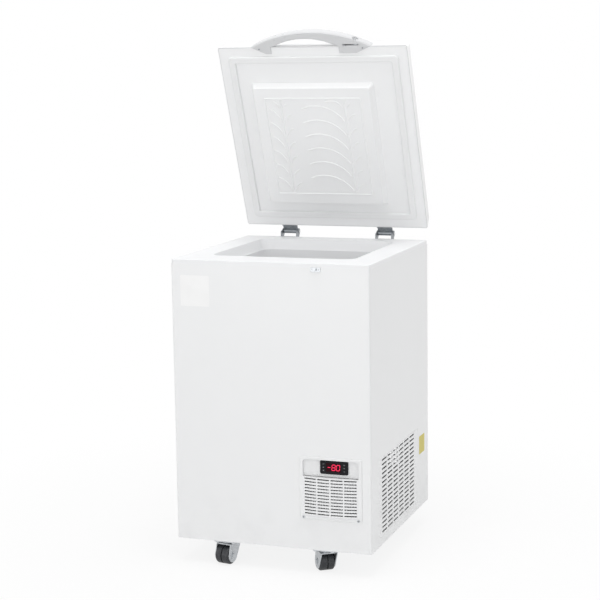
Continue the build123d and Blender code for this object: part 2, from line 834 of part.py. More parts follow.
# Hinge brackets: each a plate on the back with two ears that carry the pin
ear_span = hinge_width / 2
with BuildPart() as hinge_brackets:
    for side in (-1, 1):
        plate_low = rim_height - hinge_plate_drop
        plate_middle = (rim_height + plate_low) / 2
        plate_y = cabinet_depth / 2 + seat_gap
        with BuildSketch(rear_face(cabinet, side * hinge_x, plate_y, plate_middle)):
            Rectangle(hinge_width, rim_height - plate_low)
            with GridLocations(hinge_screw_spacing_x, hinge_screw_spacing_z, 2, 2):
                Circle(hinge_screw_radius + running_gap, mode=Mode.SUBTRACT)
        extrude(amount=hinge_sheet)
        for ear in (-1, 1):
            ear_x = side * hinge_x + ear * ear_span
            ear_inward = -ear * hinge_sheet
            with BuildSketch(right_face(cabinet, ear_x, axis_y, axis_z)):
                Circle(hinge_ear_radius)
                with BuildLine():
                    near_y = seat_gap - hinge_offset
                    Polyline(
                        (0, hinge_ear_radius),
                        (near_y, 0),
                        (near_y, -hinge_rise - hinge_plate_drop / 2),
                        (near_y + hinge_sheet, -hinge_rise - hinge_plate_drop / 2),
                        (hinge_ear_radius, 0),
                        close=True,
                    )
                make_face()
                Circle(hinge_pin_radius + running_gap, mode=Mode.SUBTRACT)
            extrude(amount=ear_inward)
save(hinge_brackets.part, "hinge_brackets")

# Hinge pins with a head at each end
with BuildPart() as hinge_pins:
    for side in (-1, 1):
        pin_half = ear_span + seat_gap
        pin_plane = right_face(cabinet, side * hinge_x, axis_y, axis_z)
        with BuildSketch(pin_plane):
            Circle(hinge_pin_radius)
        extrude(amount=pin_half, both=True)
        for end in (-1, 1):
            with BuildSketch(pin_plane.offset(end * pin_half)):
                Circle(hinge_pin_head_radius)
            extrude(amount=end * hinge_pin_head_height)
save(hinge_pins.part, "hinge_pins")

hinge_head = (hinge_screw_head_radius, hinge_screw_head_height)
bracket_screws = []
for side in (-1, 1):
    for row in (-1, 1):
        for column in (-1, 1):
            screw_x = side * hinge_x + column * hinge_screw_spacing_x / 2
            screw_z = plate_middle + row * hinge_screw_spacing_z / 2
            screw_plane = rear_face(cabinet, screw_x, plate_y + hinge_sheet + seat_gap, screw_z)
            bracket_screws.append(screw(screw_plane, hinge_screw_radius, hinge_sheet, *hinge_head))
with BuildPart() as hinge_screws:
    add(bracket_screws)
save(hinge_screws.part, "hinge_screws")


def lid_form(inset, low):
    """The drafted lid block above the level low, its walls moved in by inset."""
    with BuildPart() as form:
        base_width = lid_width - 2 * inset
        base_depth = lid_depth - 2 * inset
        share = (low - lid_bottom) / lid_height
        low_draft = lid_draft * share
        with BuildSketch(placed(lid, (0, lid_middle + low_draft / 2, low))):
            corner = lid_corner - inset
            RectangleRounded(base_width - 2 * low_draft, base_depth - low_draft, corner)
        with BuildSketch(placed(lid, (0, lid_middle + lid_draft / 2, lid_top - inset))):
            corner = lid_top_corner - inset
            RectangleRounded(base_width - 2 * lid_draft, base_depth - lid_draft, corner)
        loft(ruled=True)
        top_face = faces().sort_by(Axis(lid.origin, lid.z_dir))[-1]
        fillet(top_face.edges(), lid_top_radius - inset)
    return form.part


# Lid shell: drafted outer cover, open below
lid_outer = lid_form(0, lid_bottom)
lid_inner = lid_form(lid_wall, lid_bottom)
with BuildPart() as lid_shell:
    add(lid_outer)
    add(lid_inner, mode=Mode.SUBTRACT)
save(lid_shell.part, "lid_shell")

# Plug outlines: foot on the lid pan, and the sloped sides up to its face
plug_width = lid_width - 2 * plug_side_inset
plug_depth = lid_depth - plug_front_inset - plug_rear_inset
plug_middle = lid_middle + (plug_front_inset - plug_rear_inset) / 2
plug_face_z = lid_bottom - plug_height


def plug_form(wall):
    """The raised plug under the lid as a solid, its walls moved in by wall."""
    with BuildPart() as form:
        with BuildSketch(placed(lid, (-plug_left_shift, plug_middle, lid_bottom + wall))):
            RectangleRounded(plug_width - 2 * wall, plug_depth - 2 * wall, plug_corner - wall)
        with BuildSketch(placed(lid, (-plug_left_shift, plug_middle, plug_face_z + wall))):
            face_width = plug_width - 2 * (plug_slope + wall)
            face_depth = plug_depth - 2 * (plug_slope + wall)
            RectangleRounded(face_width, face_depth, plug_face_corner - wall)
        loft(ruled=True)
    return form.part


plug_outer = plug_form(0)
plug_inner = plug_form(pan_sheet)



def arc_rib(end, reach, fall):
    """The bowed centre line of a rib that falls to its end, from a start beside and above it."""
    chord = math.hypot(reach, fall)
    bow = rib_bow_share * abs(reach)
    start = (end[0] + reach, end[1] + fall)
    bow_x = -math.copysign(fall, reach) * bow / chord
    bow_y = abs(reach) * bow / chord
    crown = ((start[0] + end[0]) / 2 + bow_x, (start[1] + end[1]) / 2 + bow_y)
    return ThreePointArc(start, crown, end)


# Lid pan: flange round the edge, raised plug, and the ribs pressed into its face
face_width = plug_width - 2 * plug_slope
face_depth = plug_depth - 2 * plug_slope
border_width = face_width - 2 * border_inset
border_depth = face_depth - 2 * border_inset
panel_half = border_depth / 2 - rib_width - stem_margin
stem_x = stem_share * border_width / 2
stem_clear = rib_width / 2 + rib_gap + rib_width / 2
leaf_pitch = border_depth / leaf_count
leaf_reach = leaf_reach_share * 2 * stem_x
frond_reach = leaf_reach_share * (border_width / 2 - stem_x)
leaf_arcs = []
twig_arcs = []
for leaf in range(leaf_count):
    size = 1 if leaf else leaf_top_share
    fall = size * leaf_fall_share * leaf_pitch
    end_y = border_depth / 2 - (leaf + leaf_end_share) * leaf_pitch
    leaf_arcs.append(arc_rib((stem_x - stem_clear, end_y), -size * leaf_reach, fall))
    leaf_arcs.append(arc_rib((-stem_x - stem_clear, end_y), -size * frond_reach, fall))
    for stem in (-stem_x, stem_x):
        twig_end = (stem + stem_clear, end_y)
        twig_arcs.append(arc_rib(twig_end, size * twig_reach, size * twig_fall_share * leaf_pitch))
with BuildPart() as lid_liner:
    pan_inset = lid_wall + 2 * seat_gap
    with BuildSketch(placed(lid, (0, lid_middle, lid_bottom))):
        RectangleRounded(lid_width - 2 * pan_inset, lid_depth - 2 * pan_inset, lid_corner - pan_inset)
    extrude(amount=pan_sheet)
    add(plug_outer)
    with BuildSketch(placed(lid, (-plug_left_shift, plug_middle, plug_face_z), z_dir=(0, 0, -1))):
        RectangleRounded(border_width, border_depth, border_corner)
        inner_border = (border_width - 2 * rib_width, border_depth - 2 * rib_width)
        RectangleRounded(*inner_border, border_corner - rib_width / 2, mode=Mode.SUBTRACT)
        with Locations((-stem_x, 0), (stem_x, 0)):
            SlotOverall(2 * panel_half, rib_width, rotation=90)
        for arc in leaf_arcs:
            SlotArc(arc, rib_width)
        for arc in twig_arcs:
            SlotArc(arc, twig_width)
    extrude(amount=rib_height)
    rib_tops = faces().sort_by(Axis(lid.origin, -lid.z_dir))
    rib_tops = [top for top in rib_tops if top.is_planar and abs(top.normal_at().dot(lid.z_dir) + 1) < 0.001]
    highest = max(-(top.center() - lid.origin).dot(lid.z_dir) for top in rib_tops)
    rib_tops = [top for top in rib_tops if -(top.center() - lid.origin).dot(lid.z_dir) > highest - rib_edge / 2]
    chamfer([edge for top in rib_tops for edge in top.edges()], rib_edge)
    add(plug_inner, mode=Mode.SUBTRACT)
save(lid_liner.part, "lid_liner")

# Lid foam: fills the shell above the pan and the plug below it
with BuildPart() as lid_foam:
    add(lid_form(lid_wall + seat_gap, lid_bottom + pan_sheet + seat_gap))
    add(plug_form(pan_sheet + seat_gap))
save(lid_foam.part, "lid_foam")

# Lid gasket: soft ring under the flange that meets the collar when the lid is shut
gasket_height = lid_gap - gasket_clearance - seat_gap
with BuildPart() as lid_gasket:
    with BuildSketch(placed(lid, (0, lid_middle, lid_bottom - seat_gap), z_dir=(0, 0, -1))):
        ring_width = lid_width - 2 * gasket_inset
        ring_depth = lid_depth - 2 * gasket_inset
        RectangleRounded(ring_width, ring_depth, gasket_corner)
        inner_ring = (ring_width - 2 * gasket_width, ring_depth - 2 * gasket_width)
        RectangleRounded(*inner_ring, gasket_corner - gasket_width / 2, mode=Mode.SUBTRACT)
    extrude(amount=gasket_height)
    gasket_face = faces().sort_by(Axis(lid.origin, -lid.z_dir))[-1]
    chamfer(gasket_face.edges(), gasket_lip_radius)
save(lid_gasket.part, "lid_gasket")

# Lid handle: a bow along the front edge, with two feet that turn under the lid
half_span = handle_span / 2
bow_radius = (half_span**2 + handle_reach**2) / (2 * handle_reach)
grip_middle = (grip_left + grip_right) / 2
handle_base = lid_front - seat_gap
handle_low = lid_bottom - handle_drop
barrel_z = lid_bottom + lock_rise
stud_distance = barrel_z + hinge_rise + strike_drop
hook_inner = stud_distance + stud_radius + hook_clearance
hook_outer = hook_inner + hook_band
with BuildPart() as lid_handle:
    with BuildSketch(placed(lid, (0, handle_base, handle_low))):
        with BuildLine():
            ThreePointArc((-half_span, 0), (0, -handle_reach), (half_span, 0))
            Line((half_span, 0), (-half_span, 0))
        make_face()
        with BuildLine():
            ThreePointArc((grip_left, overrun), (grip_middle, -grip_depth), (grip_right, overrun))
            Line((grip_right, overrun), (grip_left, overrun))
        make_face(mode=Mode.SUBTRACT)
    extrude(amount=handle_height)
    bow_rims = edges().filter_by(GeomType.CIRCLE)
    chamfer(bow_rims, handle_edge)
    pad_height = handle_drop - seat_gap
    with BuildSketch(placed(lid, (0, handle_base, handle_low))):
        with BuildLine():
            Polyline(
                (grip_right, 0),
                (grip_right, pad_reach),
                (half_span - pad_slant, pad_reach),
                (half_span, 0),
                close=True,
            )
        make_face()
        with BuildLine():
            Polyline(
                (grip_left, 0),
                (grip_left, pad_reach),
                (-half_span + pad_slant, pad_reach),
                (-half_span, 0),
                close=True,
            )
        make_face()
    extrude(amount=pad_height)
    # Pocket for the lock hook, open below, and the bore of the barrel in front of it
    pocket_back_y = lid_front - hook_standoff + lock_pocket_gap
    pocket_depth = hook_sheet + 2 * lock_pocket_gap
    pocket_left = lock_x - hook_outer - lock_pocket_gap
    pocket_right = lock_x + hook_hub_radius + lock_pocket_gap
    pocket_top = barrel_z + hook_outer * math.sin(math.radians(180 - hook_start)) + lock_pocket_gap
    pocket_low = handle_low - overrun
    pocket_x = (pocket_left + pocket_right) / 2
    pocket_z = (pocket_top + pocket_low) / 2
    with BuildSketch(front_face(lid, pocket_x, pocket_back_y, pocket_z)):
        Rectangle(pocket_right - pocket_left, pocket_top - pocket_low)
    extrude(amount=pocket_depth, mode=Mode.SUBTRACT)
    with BuildSketch(front_face(lid, lock_x, pocket_back_y, barrel_z)):
        Circle(barrel_radius + seat_gap)
    extrude(amount=handle_reach, mode=Mode.SUBTRACT)
    with BuildSketch(placed(lid, (0, handle_base + handle_screw_setback, handle_low))):
        with Locations((half_span - handle_screw_inset, 0), (-half_span + handle_screw_inset, 0)):
            Circle(handle_screw_radius + running_gap)
    extrude(amount=handle_drop, both=True, mode=Mode.SUBTRACT)
save(lid_handle.part, "lid_handle")

pad_screws = []
for side in (-1, 1):
    screw_x = side * (half_span - handle_screw_inset)
    screw_place = (screw_x, handle_base + handle_screw_setback, handle_low - seat_gap)
    screw_plane = placed(lid, screw_place, z_dir=(0, 0, -1))
    head = (handle_screw_head_radius, handle_screw_head_height)
    pad_screws.append(screw(screw_plane, handle_screw_radius, handle_drop - seat_gap, *head))
with BuildPart() as handle_screws:
    add(pad_screws)
save(handle_screws.part, "handle_screws")

# Lock barrel: sleeve in the right foot of the handle
barrel_back_y = pocket_back_y - pocket_depth - seat_gap
barrel_far_x = lock_x + barrel_radius
barrel_reach = math.sqrt(bow_radius**2 - barrel_far_x**2) - bow_radius + handle_reach + barrel_proud
barrel_front_y = handle_base - barrel_reach
with BuildPart() as lock_barrel:
    with BuildSketch(front_face(lid, lock_x, barrel_back_y, barrel_z)):
        Circle(barrel_radius)
        Circle(barrel_radius - barrel_wall + running_gap, mode=Mode.SUBTRACT)
    extrude(amount=barrel_back_y - barrel_front_y)
save(lock_barrel.part, "lock_barrel")

# Lock plug: turns in the barrel and carries the hook on its inner end
plug_radius = barrel_radius - barrel_wall
hook_back_y = lid_front - hook_standoff
with BuildPart() as lock_plug:
    with BuildSketch(front_face(lid, lock_x, hook_back_y, barrel_z)):
        Circle(plug_radius)
    extrude(amount=hook_back_y - barrel_front_y - barrel_proud)
    with BuildSketch(front_face(lid, lock_x, barrel_front_y + barrel_proud, barrel_z)):
        Rectangle(key_slot_width, key_slot_length)
    extrude(amount=-key_slot_depth, mode=Mode.SUBTRACT)
save(lock_plug.part, "lock_plug")


def polar(radius, angle):
    """A point at a radius and an angle in degrees."""
    return (radius * math.cos(math.radians(angle)), radius * math.sin(math.radians(angle)))


# Lock hook: a ring sector on a web, whose open end swings under the keeper's stud
web_end = hook_start + hook_web_sweep
hook_end = hook_start + hook_sweep
with BuildPart() as lock_hook:
    with BuildSketch(front_face(lid, lock_x, hook_back_y, barrel_z)):
        Circle(hook_hub_radius)
        with BuildLine():
            CenterArc((0, 0), hook_outer, hook_start, hook_sweep)
            Line(polar(hook_outer, hook_end), polar(hook_inner, hook_end))
            CenterArc((0, 0), hook_inner, hook_end, hook_web_sweep - hook_sweep)
            Line(polar(hook_inner, web_end), polar(plug_radius + hook_band / 2, web_end))
            Line(polar(plug_radius + hook_band / 2, web_end), polar(plug_radius + hook_band / 2, hook_start))
            Line(polar(plug_radius + hook_band / 2, hook_start), polar(hook_outer, hook_start))
        make_face()
        Circle(plug_radius + running_gap, mode=Mode.SUBTRACT)
    extrude(amount=hook_sheet)
save(lock_hook.part, "lock_hook")

# Hinge leaves: a plate on the back of the lid, bent to an arm and rolled round the pin
leaf_half = ear_span - hinge_sheet - leaf_side_gap
leaf_y = seat_gap - lid_setback
leaf_screw_z = lid_bottom + leaf_height - hinge_screw_spacing_z / 2
with BuildPart() as hinge_leaves:
    for side in (-1, 1):
        with BuildSketch(right_face(lid, side * hinge_x - leaf_half, 0, 0)):
            with BuildLine():
                Polyline(
                    (leaf_y, lid_bottom),
                    (leaf_y, lid_bottom + leaf_height),
                    (leaf_y + hinge_sheet, lid_bottom + leaf_height),
                    (leaf_y + hinge_sheet, hinge_sheet / 2),
                    (0, hinge_sheet / 2),
                    (0, -hinge_sheet / 2),
                    (leaf_y + hinge_sheet, -hinge_sheet / 2),
                    (leaf_y + hinge_sheet, lid_bottom),
                    close=True,
                )
            make_face()
            Circle(leaf_knuckle_radius)
            Circle(hinge_pin_radius + running_gap, mode=Mode.SUBTRACT)
        extrude(amount=2 * leaf_half)
        with BuildSketch(rear_face(lid, side * hinge_x, leaf_y, leaf_screw_z)):
            with Locations((-leaf_screw_x, 0), (leaf_screw_x, 0)):
                Circle(hinge_screw_radius + running_gap)
        extrude(amount=hinge_sheet, mode=Mode.SUBTRACT)
save(hinge_leaves.part, "hinge_leaves")

lid_screws = []
for side in (-1, 1):
    for column in (-1, 1):
        screw_x = side * hinge_x + column * leaf_screw_x
        screw_plane = rear_face(lid, screw_x, leaf_y + hinge_sheet + seat_gap, leaf_screw_z)
        lid_screws.append(screw(screw_plane, hinge_screw_radius, hinge_sheet, *hinge_head))
with BuildPart() as leaf_screws:
    add(lid_screws)
save(leaf_screws.part, "leaf_screws")

# Mains inlet: appliance socket with three blades, snapped into the rear panel
inlet_y = cabinet_depth / 2 + seat_gap
with BuildPart() as mains_inlet:
    with BuildSketch(rear_face(cabinet, inlet_x, inlet_y, inlet_z)):
        RectangleRounded(inlet_width, inlet_height, inlet_flange)
    extrude(amount=inlet_flange)
    with BuildSketch(rear_face(cabinet, inlet_x, inlet_y, inlet_z)):
        Rectangle(inlet_body_width, inlet_body_height)
    extrude(amount=-inlet_body_depth)
    with BuildSketch(rear_face(cabinet, inlet_x, inlet_y + inlet_flange, inlet_z)):
        Rectangle(inlet_socket_width, inlet_socket_height)
    extrude(amount=-inlet_socket_depth, mode=Mode.SUBTRACT)
    with BuildSketch(rear_face(cabinet, inlet_x, inlet_y + inlet_flange - inlet_socket_depth, inlet_z)):
        with Locations((-inlet_blade_spacing, 0), (0, inlet_blade_width), (inlet_blade_spacing, 0)):
            Rectangle(inlet_blade_width, inlet_blade_height)
    extrude(amount=inlet_blade_reach)
save(mains_inlet.part, "mains_inlet")

# Compressor: sealed can with the pump block inside, on a foot plate
foot_z = tray_sheet + seat_gap + grommet_height + seat_gap
can_z = foot_z + foot_plate_sheet
with BuildPart() as compressor:
    with BuildSketch(placed(cabinet, (compressor_x, compressor_y, can_z))):
        Circle(can_radius)
    extrude(amount=can_height)
    fillet(faces().sort_by(Axis.Z)[-1].edges(), can_dome_radius)
    with BuildSketch(placed(cabinet, (compressor_x, compressor_y, can_z + can_seam_height))):
        Circle(can_radius + can_seam_reach)
    extrude(amount=can_seam_thickness)
    with BuildPart(mode=Mode.PRIVATE) as can_room:
        with BuildSketch(placed(cabinet, (compressor_x, compressor_y, can_z + can_wall))):
            Circle(can_radius - can_wall)
        extrude(amount=can_height - 2 * can_wall)
        fillet(faces().sort_by(Axis.Z)[-1].edges(), can_dome_radius - can_wall)
        with BuildSketch(placed(cabinet, (compressor_x, compressor_y, can_z + can_wall))):
            Circle(pump_radius)
        extrude(amount=pump_height, mode=Mode.SUBTRACT)
    add(can_room.part, mode=Mode.SUBTRACT)
    with BuildSketch(placed(cabinet, (compressor_x, compressor_y, foot_z))):
        RectangleRounded(foot_plate_length, foot_plate_width, grommet_radius)
        with GridLocations(foot_spacing_x, foot_spacing_y, 2, 2):
            Circle(grommet_neck_radius + seat_gap, mode=Mode.SUBTRACT)
    extrude(amount=foot_plate_sheet)
save(compressor.part, "compressor")

# Compressor feet: rubber grommets with a neck through the foot plate
with BuildPart() as compressor_feet:
    with BuildSketch(placed(cabinet, (compressor_x, compressor_y, tray_sheet + seat_gap))):
        with GridLocations(foot_spacing_x, foot_spacing_y, 2, 2):
            Circle(grommet_radius)
    extrude(amount=grommet_height)
    with BuildSketch(placed(cabinet, (compressor_x, compressor_y, foot_z - seat_gap))):
        with GridLocations(foot_spacing_x, foot_spacing_y, 2, 2):
            Circle(grommet_neck_radius)
    extrude(amount=foot_plate_sheet + 2 * seat_gap)
    with BuildSketch(placed(cabinet, (compressor_x, compressor_y, can_z + seat_gap))):
        with GridLocations(foot_spacing_x, foot_spacing_y, 2, 2):
            Circle(grommet_top_radius)
    extrude(amount=grommet_top_height)
save(compressor_feet.part, "compressor_feet")

# Terminal box: clipped to the right side of the can, hollowed to its curve
can_sagitta = can_radius - math.sqrt(can_radius**2 - (terminal_width / 2) ** 2)
terminal_x = compressor_x + can_radius + terminal_depth
with BuildPart() as terminal_box:
    with BuildSketch(right_face(cabinet, terminal_x, compressor_y, can_z + terminal_rise)):
        RectangleRounded(terminal_width, terminal_height, terminal_corner)
    extrude(amount=-terminal_depth - can_sagitta)
    fillet(faces().sort_by(Axis.X)[-1].edges(), terminal_corner / 2)
    with BuildSketch(placed(cabinet, (compressor_x, compressor_y, can_z))):
        Circle(can_radius + seat_gap)
    extrude(amount=can_height, mode=Mode.SUBTRACT)
save(terminal_box.part, "terminal_box")

# Condenser: finned block between two end plates that stand on the tray, tube bends at both ends
condenser_y = -cabinet_depth / 2 + condenser_front_gap + condenser_depth / 2
condenser_low = tray_sheet + seat_gap + condenser_lift
condenser_middle = condenser_low + condenser_height / 2
plate_reach = condenser_width / 2 + condenser_end_sheet
row_span = bend_pitch - bend_span


def tube_bend_form(x, direction, z, span):
    """A half ring of tube that stands out from a condenser end plate."""
    with BuildPart() as form:
        with BuildSketch(placed(cabinet, (x, condenser_y, z), (0, 1, 0), (direction, 0, 0))):
            with Locations((0, span / 2)):
                Circle(bend_tube_radius)
        bend_axis_origin = cabinet.from_local_coords(Vector(x, condenser_y, z))
        revolve(axis=Axis(bend_axis_origin, (0, direction, 0)), revolution_arc=180)
    return form.part


bend_forms = []
for bend in range(bend_count):
    bend_z = condenser_middle + (bend - (bend_count - 1) / 2) * bend_pitch
    bend_forms.append(tube_bend_form(panel_x + plate_reach, 1, bend_z, bend_span))
    if bend < bend_count - 1:
        bend_forms.append(tube_bend_form(panel_x - plate_reach, -1, bend_z + bend_pitch / 2, row_span))
with BuildPart() as condenser:
    with BuildSketch(placed(cabinet, (panel_x, condenser_y, condenser_low))):
        Rectangle(condenser_width, condenser_depth)
        fin_pitch = condenser_width / fin_count
        with GridLocations(fin_pitch, condenser_depth, fin_count, 2):
            Rectangle(fin_groove, 2 * fin_groove_depth, mode=Mode.SUBTRACT)
    extrude(amount=condenser_height)
    with BuildSketch(placed(cabinet, (panel_x, condenser_y, tray_sheet + seat_gap))):
        with GridLocations(condenser_width + condenser_end_sheet, condenser_depth, 2, 1):
            Rectangle(condenser_end_sheet, condenser_depth)
    extrude(amount=condenser_lift + condenser_height)
    add(bend_forms)
save(condenser.part, "condenser")

# Fan shroud: hood behind the condenser with a ring round the fan
hood_front_y = condenser_y + condenser_depth / 2 + seat_gap
hood_back_y = hood_front_y + shroud_gap
ring_back_y = hood_back_y + shroud_ring_length
with BuildPart() as fan_shroud:
    with BuildSketch(front_face(cabinet, panel_x, hood_back_y, condenser_middle)):
        Rectangle(2 * plate_reach, condenser_height)
    extrude(amount=shroud_gap)
    with BuildSketch(front_face(cabinet, panel_x, hood_back_y - shroud_sheet, condenser_middle)):
        Rectangle(2 * plate_reach - 2 * shroud_sheet, condenser_height - 2 * shroud_sheet)
    extrude(amount=shroud_gap, mode=Mode.SUBTRACT)
    with BuildSketch(rear_face(cabinet, panel_x, hood_back_y - shroud_sheet, condenser_middle)):
        Circle(shroud_opening_radius + shroud_sheet)
    extrude(amount=shroud_sheet + shroud_ring_length)
    with BuildSketch(rear_face(cabinet, panel_x, hood_front_y, condenser_middle)):
        Circle(shroud_opening_radius)
    extrude(amount=shroud_gap + shroud_ring_length, mode=Mode.SUBTRACT)
save(fan_shroud.part, "fan_shroud")

# Fan motor: can on a cross of four arms that sits on the ring, shaft to the front
arms_y = ring_back_y + seat_gap
with BuildPart() as fan_motor:
    with BuildSketch(rear_face(cabinet, panel_x, arms_y, condenser_middle)):
        Rectangle(2 * shroud_opening_radius + 2 * shroud_sheet, motor_arm_width)
        Rectangle(motor_arm_width, 2 * shroud_opening_radius + 2 * shroud_sheet)
        Circle(shroud_opening_radius + shroud_sheet, mode=Mode.INTERSECT)
    extrude(amount=motor_arm_sheet)
    with BuildSketch(rear_face(cabinet, panel_x, arms_y, condenser_middle)):
        Circle(motor_radius)
    extrude(amount=motor_length)
    with BuildSketch(rear_face(cabinet, panel_x, arms_y, condenser_middle)):
        Circle(motor_shaft_radius)
    extrude(amount=-motor_shaft_length)
save(fan_motor.part, "fan_motor")

# Fan blade: hub with a bore for the shaft and pitched blades trimmed to the ring
fan_back_y = arms_y - motor_shaft_length + fan_bore_depth - seat_gap
fan_tip_radius = shroud_opening_radius - fan_tip_gap
with BuildPart() as fan_blade:
    for blade in range(fan_blades):
        turn = math.radians(360 / fan_blades * blade)
        pitch = math.radians(fan_blade_pitch)
        outward = (math.cos(turn), 0, math.sin(turn))
        facing = (-math.sin(turn) * math.sin(pitch), math.cos(pitch), math.cos(turn) * math.sin(pitch))
        hub_middle = (panel_x, fan_back_y - fan_hub_length / 2, condenser_middle)
        blade_plane = placed(cabinet, hub_middle, outward, facing)
        with BuildSketch(blade_plane):
            Polygon(
                (0, -fan_root_chord / 2),
                (fan_tip_radius, -fan_blade_chord / 2),
                (fan_tip_radius, fan_blade_chord / 2),
                (0, fan_root_chord / 2),
                align=None,
            )
        extrude(amount=fan_blade_sheet / 2, both=True)
    with BuildSketch(rear_face(cabinet, panel_x, fan_back_y - fan_hub_length / 2, condenser_middle)):
        Circle(fan_tip_radius)
    extrude(amount=fan_blade_chord, both=True, mode=Mode.INTERSECT)
    with BuildSketch(rear_face(cabinet, panel_x, fan_back_y, condenser_middle)):
        Circle(fan_hub_radius)
    extrude(amount=-fan_hub_length)
    with BuildSketch(rear_face(cabinet, panel_x, fan_back_y, condenser_middle)):
        Circle(motor_shaft_radius + running_gap)
    extrude(amount=-fan_bore_depth, mode=Mode.SUBTRACT)
save(fan_blade.part, "fan_blade")


def tube(points, radius):
    """A round tube bent through points of the cabinet frame."""
    with BuildPart() as form:
        with BuildLine() as route:
            corners = [cabinet.from_local_coords(Vector(*point)) for point in points]
            FilletPolyline(*corners, radius=tube_bend)
        with BuildSketch(Plane(origin=route.line @ 0, z_dir=route.line % 0)):
            Circle(radius)
        sweep(path=route.line)
    return form.part


row_reach = (bend_count * bend_pitch - row_span) / 2
inlet_row_z = condenser_middle + row_reach
outlet_row_z = condenser_middle - row_reach
row_end_x = panel_x - plate_reach - seat_gap
deck_under = compartment_height - sheet - seat_gap

# Discharge pipe: from the can to the condenser's top row
can_front_y = compressor_y - can_radius - seat_gap
discharge_pipe = tube(
    [
        (compressor_x, can_front_y, tube_level),
        (compressor_x, tube_run_y, tube_level),
        (compressor_x, tube_run_y, inlet_row_z),
        (tube_run_x, tube_run_y, inlet_row_z),
        (tube_run_x, condenser_y, inlet_row_z),
        (row_end_x, condenser_y, inlet_row_z),
    ],
    tube_radius,
)
save(discharge_pipe, "discharge_pipe")

# Filter drier: copper cartridge on the liquid side, with a neck at each end
with BuildPart() as filter_drier:
    with BuildSketch(rear_face(cabinet, drier_x, drier_front, outlet_row_z)):
        Circle(drier_radius)
    extrude(amount=drier_length)
    chamfer(edges().filter_by(GeomType.CIRCLE), drier_neck_radius - seat_gap)
    with BuildSketch(rear_face(cabinet, drier_x, drier_front - drier_neck_length, outlet_row_z)):
        Circle(drier_neck_radius)
    extrude(amount=drier_length + 2 * drier_neck_length)
save(filter_drier.part, "filter_drier")

# Liquid pipe: from the condenser's bottom row to the drier
drier_neck_y = drier_front - drier_neck_length - seat_gap
liquid_pipe = tube(
    [
        (row_end_x, condenser_y, outlet_row_z),
        (drier_x, condenser_y, outlet_row_z),
        (drier_x, drier_neck_y, outlet_row_z),
    ],
    tube_radius,
)
save(liquid_pipe, "liquid_pipe")

# Suction pipe: from the deck down to the can, with the capillary from the drier soldered along it
can_left_x = compressor_x - can_radius - seat_gap
solder_overlap = capillary_radius / 2
capillary_y = compressor_y - tube_radius - capillary_radius + solder_overlap
suction_tube = tube(
    [
        (can_left_x, compressor_y, tube_level),
        (drier_x, compressor_y, tube_level),
        (drier_x, compressor_y, deck_under),
    ],
    tube_radius,
)
capillary_tube = tube(
    [
        (drier_x, drier_front + drier_length + drier_neck_length + seat_gap, outlet_row_z),
        (drier_x, capillary_y, outlet_row_z),
        (drier_x, capillary_y, deck_under),
    ],
    capillary_radius,
)
with BuildPart() as suction_pipe:
    add(suction_tube)
    add(capillary_tube)
save(suction_pipe.part, "suction_pipe")

# Electrical box: open pressed box on the tray, and its lipped cover
box_bottom = tray_sheet + seat_gap
with BuildPart() as electrical_box:
    with BuildSketch(placed(cabinet, (box_x, box_y, box_bottom))):
        RectangleRounded(box_width, box_depth, box_corner)
    extrude(amount=box_height)
    with BuildSketch(placed(cabinet, (box_x, box_y, box_bottom + box_wall))):
        RectangleRounded(box_width - 2 * box_wall, box_depth - 2 * box_wall, box_corner - box_wall)
    extrude(amount=box_height, mode=Mode.SUBTRACT)
save(electrical_box.part, "electrical_box")

cover_grown = 2 * (seat_gap + box_wall)
cover_bottom = box_bottom + box_height + seat_gap - box_cover_lip
with BuildPart() as electrical_cover:
    with BuildSketch(placed(cabinet, (box_x, box_y, cover_bottom))):
        RectangleRounded(box_width + cover_grown, box_depth + cover_grown, box_corner + box_wall)
    extrude(amount=box_cover_lip + box_wall)
    with BuildSketch(placed(cabinet, (box_x, box_y, cover_bottom))):
        RectangleRounded(box_width + 2 * seat_gap, box_depth + 2 * seat_gap, box_corner + seat_gap)
    extrude(amount=box_cover_lip, mode=Mode.SUBTRACT)
save(electrical_cover.part, "electrical_cover")

# Caster plates: square plate with the upper race and the kingpin, one at each corner
plate_bottom = -seat_gap - plate_sheet
race_bottom = fork_top + race_gap - caster_height
crown_bottom = fork_top - fork_sheet - caster_height
caster_spread_y = cabinet_depth - 2 * caster_inset
with BuildPart() as caster_plates:
    with BuildSketch(cabinet.offset(plate_bottom)):
        with GridLocations(2 * caster_x, caster_spread_y, 2, 2):
            RectangleRounded(plate_size, plate_size, plate_corner)
            with GridLocations(caster_bolt_spacing, caster_bolt_spacing, 2, 2):
                Circle(caster_bolt_radius + seat_gap, mode=Mode.SUBTRACT)
    extrude(amount=plate_sheet)
    with BuildSketch(cabinet.offset(race_bottom)):
        with GridLocations(2 * caster_x, caster_spread_y, 2, 2):
            Circle(race_radius)
    extrude(amount=plate_bottom - race_bottom)
    pin_bottom = crown_bottom - race_gap
    with BuildSketch(cabinet.offset(pin_bottom)):
        with GridLocations(2 * caster_x, caster_spread_y, 2, 2):
            Circle(kingpin_radius)
    extrude(amount=race_bottom - pin_bottom)
    with BuildSketch(cabinet.offset(pin_bottom - kingpin_head_height)):
        with GridLocations(2 * caster_x, caster_spread_y, 2, 2):
            Circle(kingpin_head_radius)
    extrude(amount=kingpin_head_height)
save(caster_plates.part, "caster_plates")

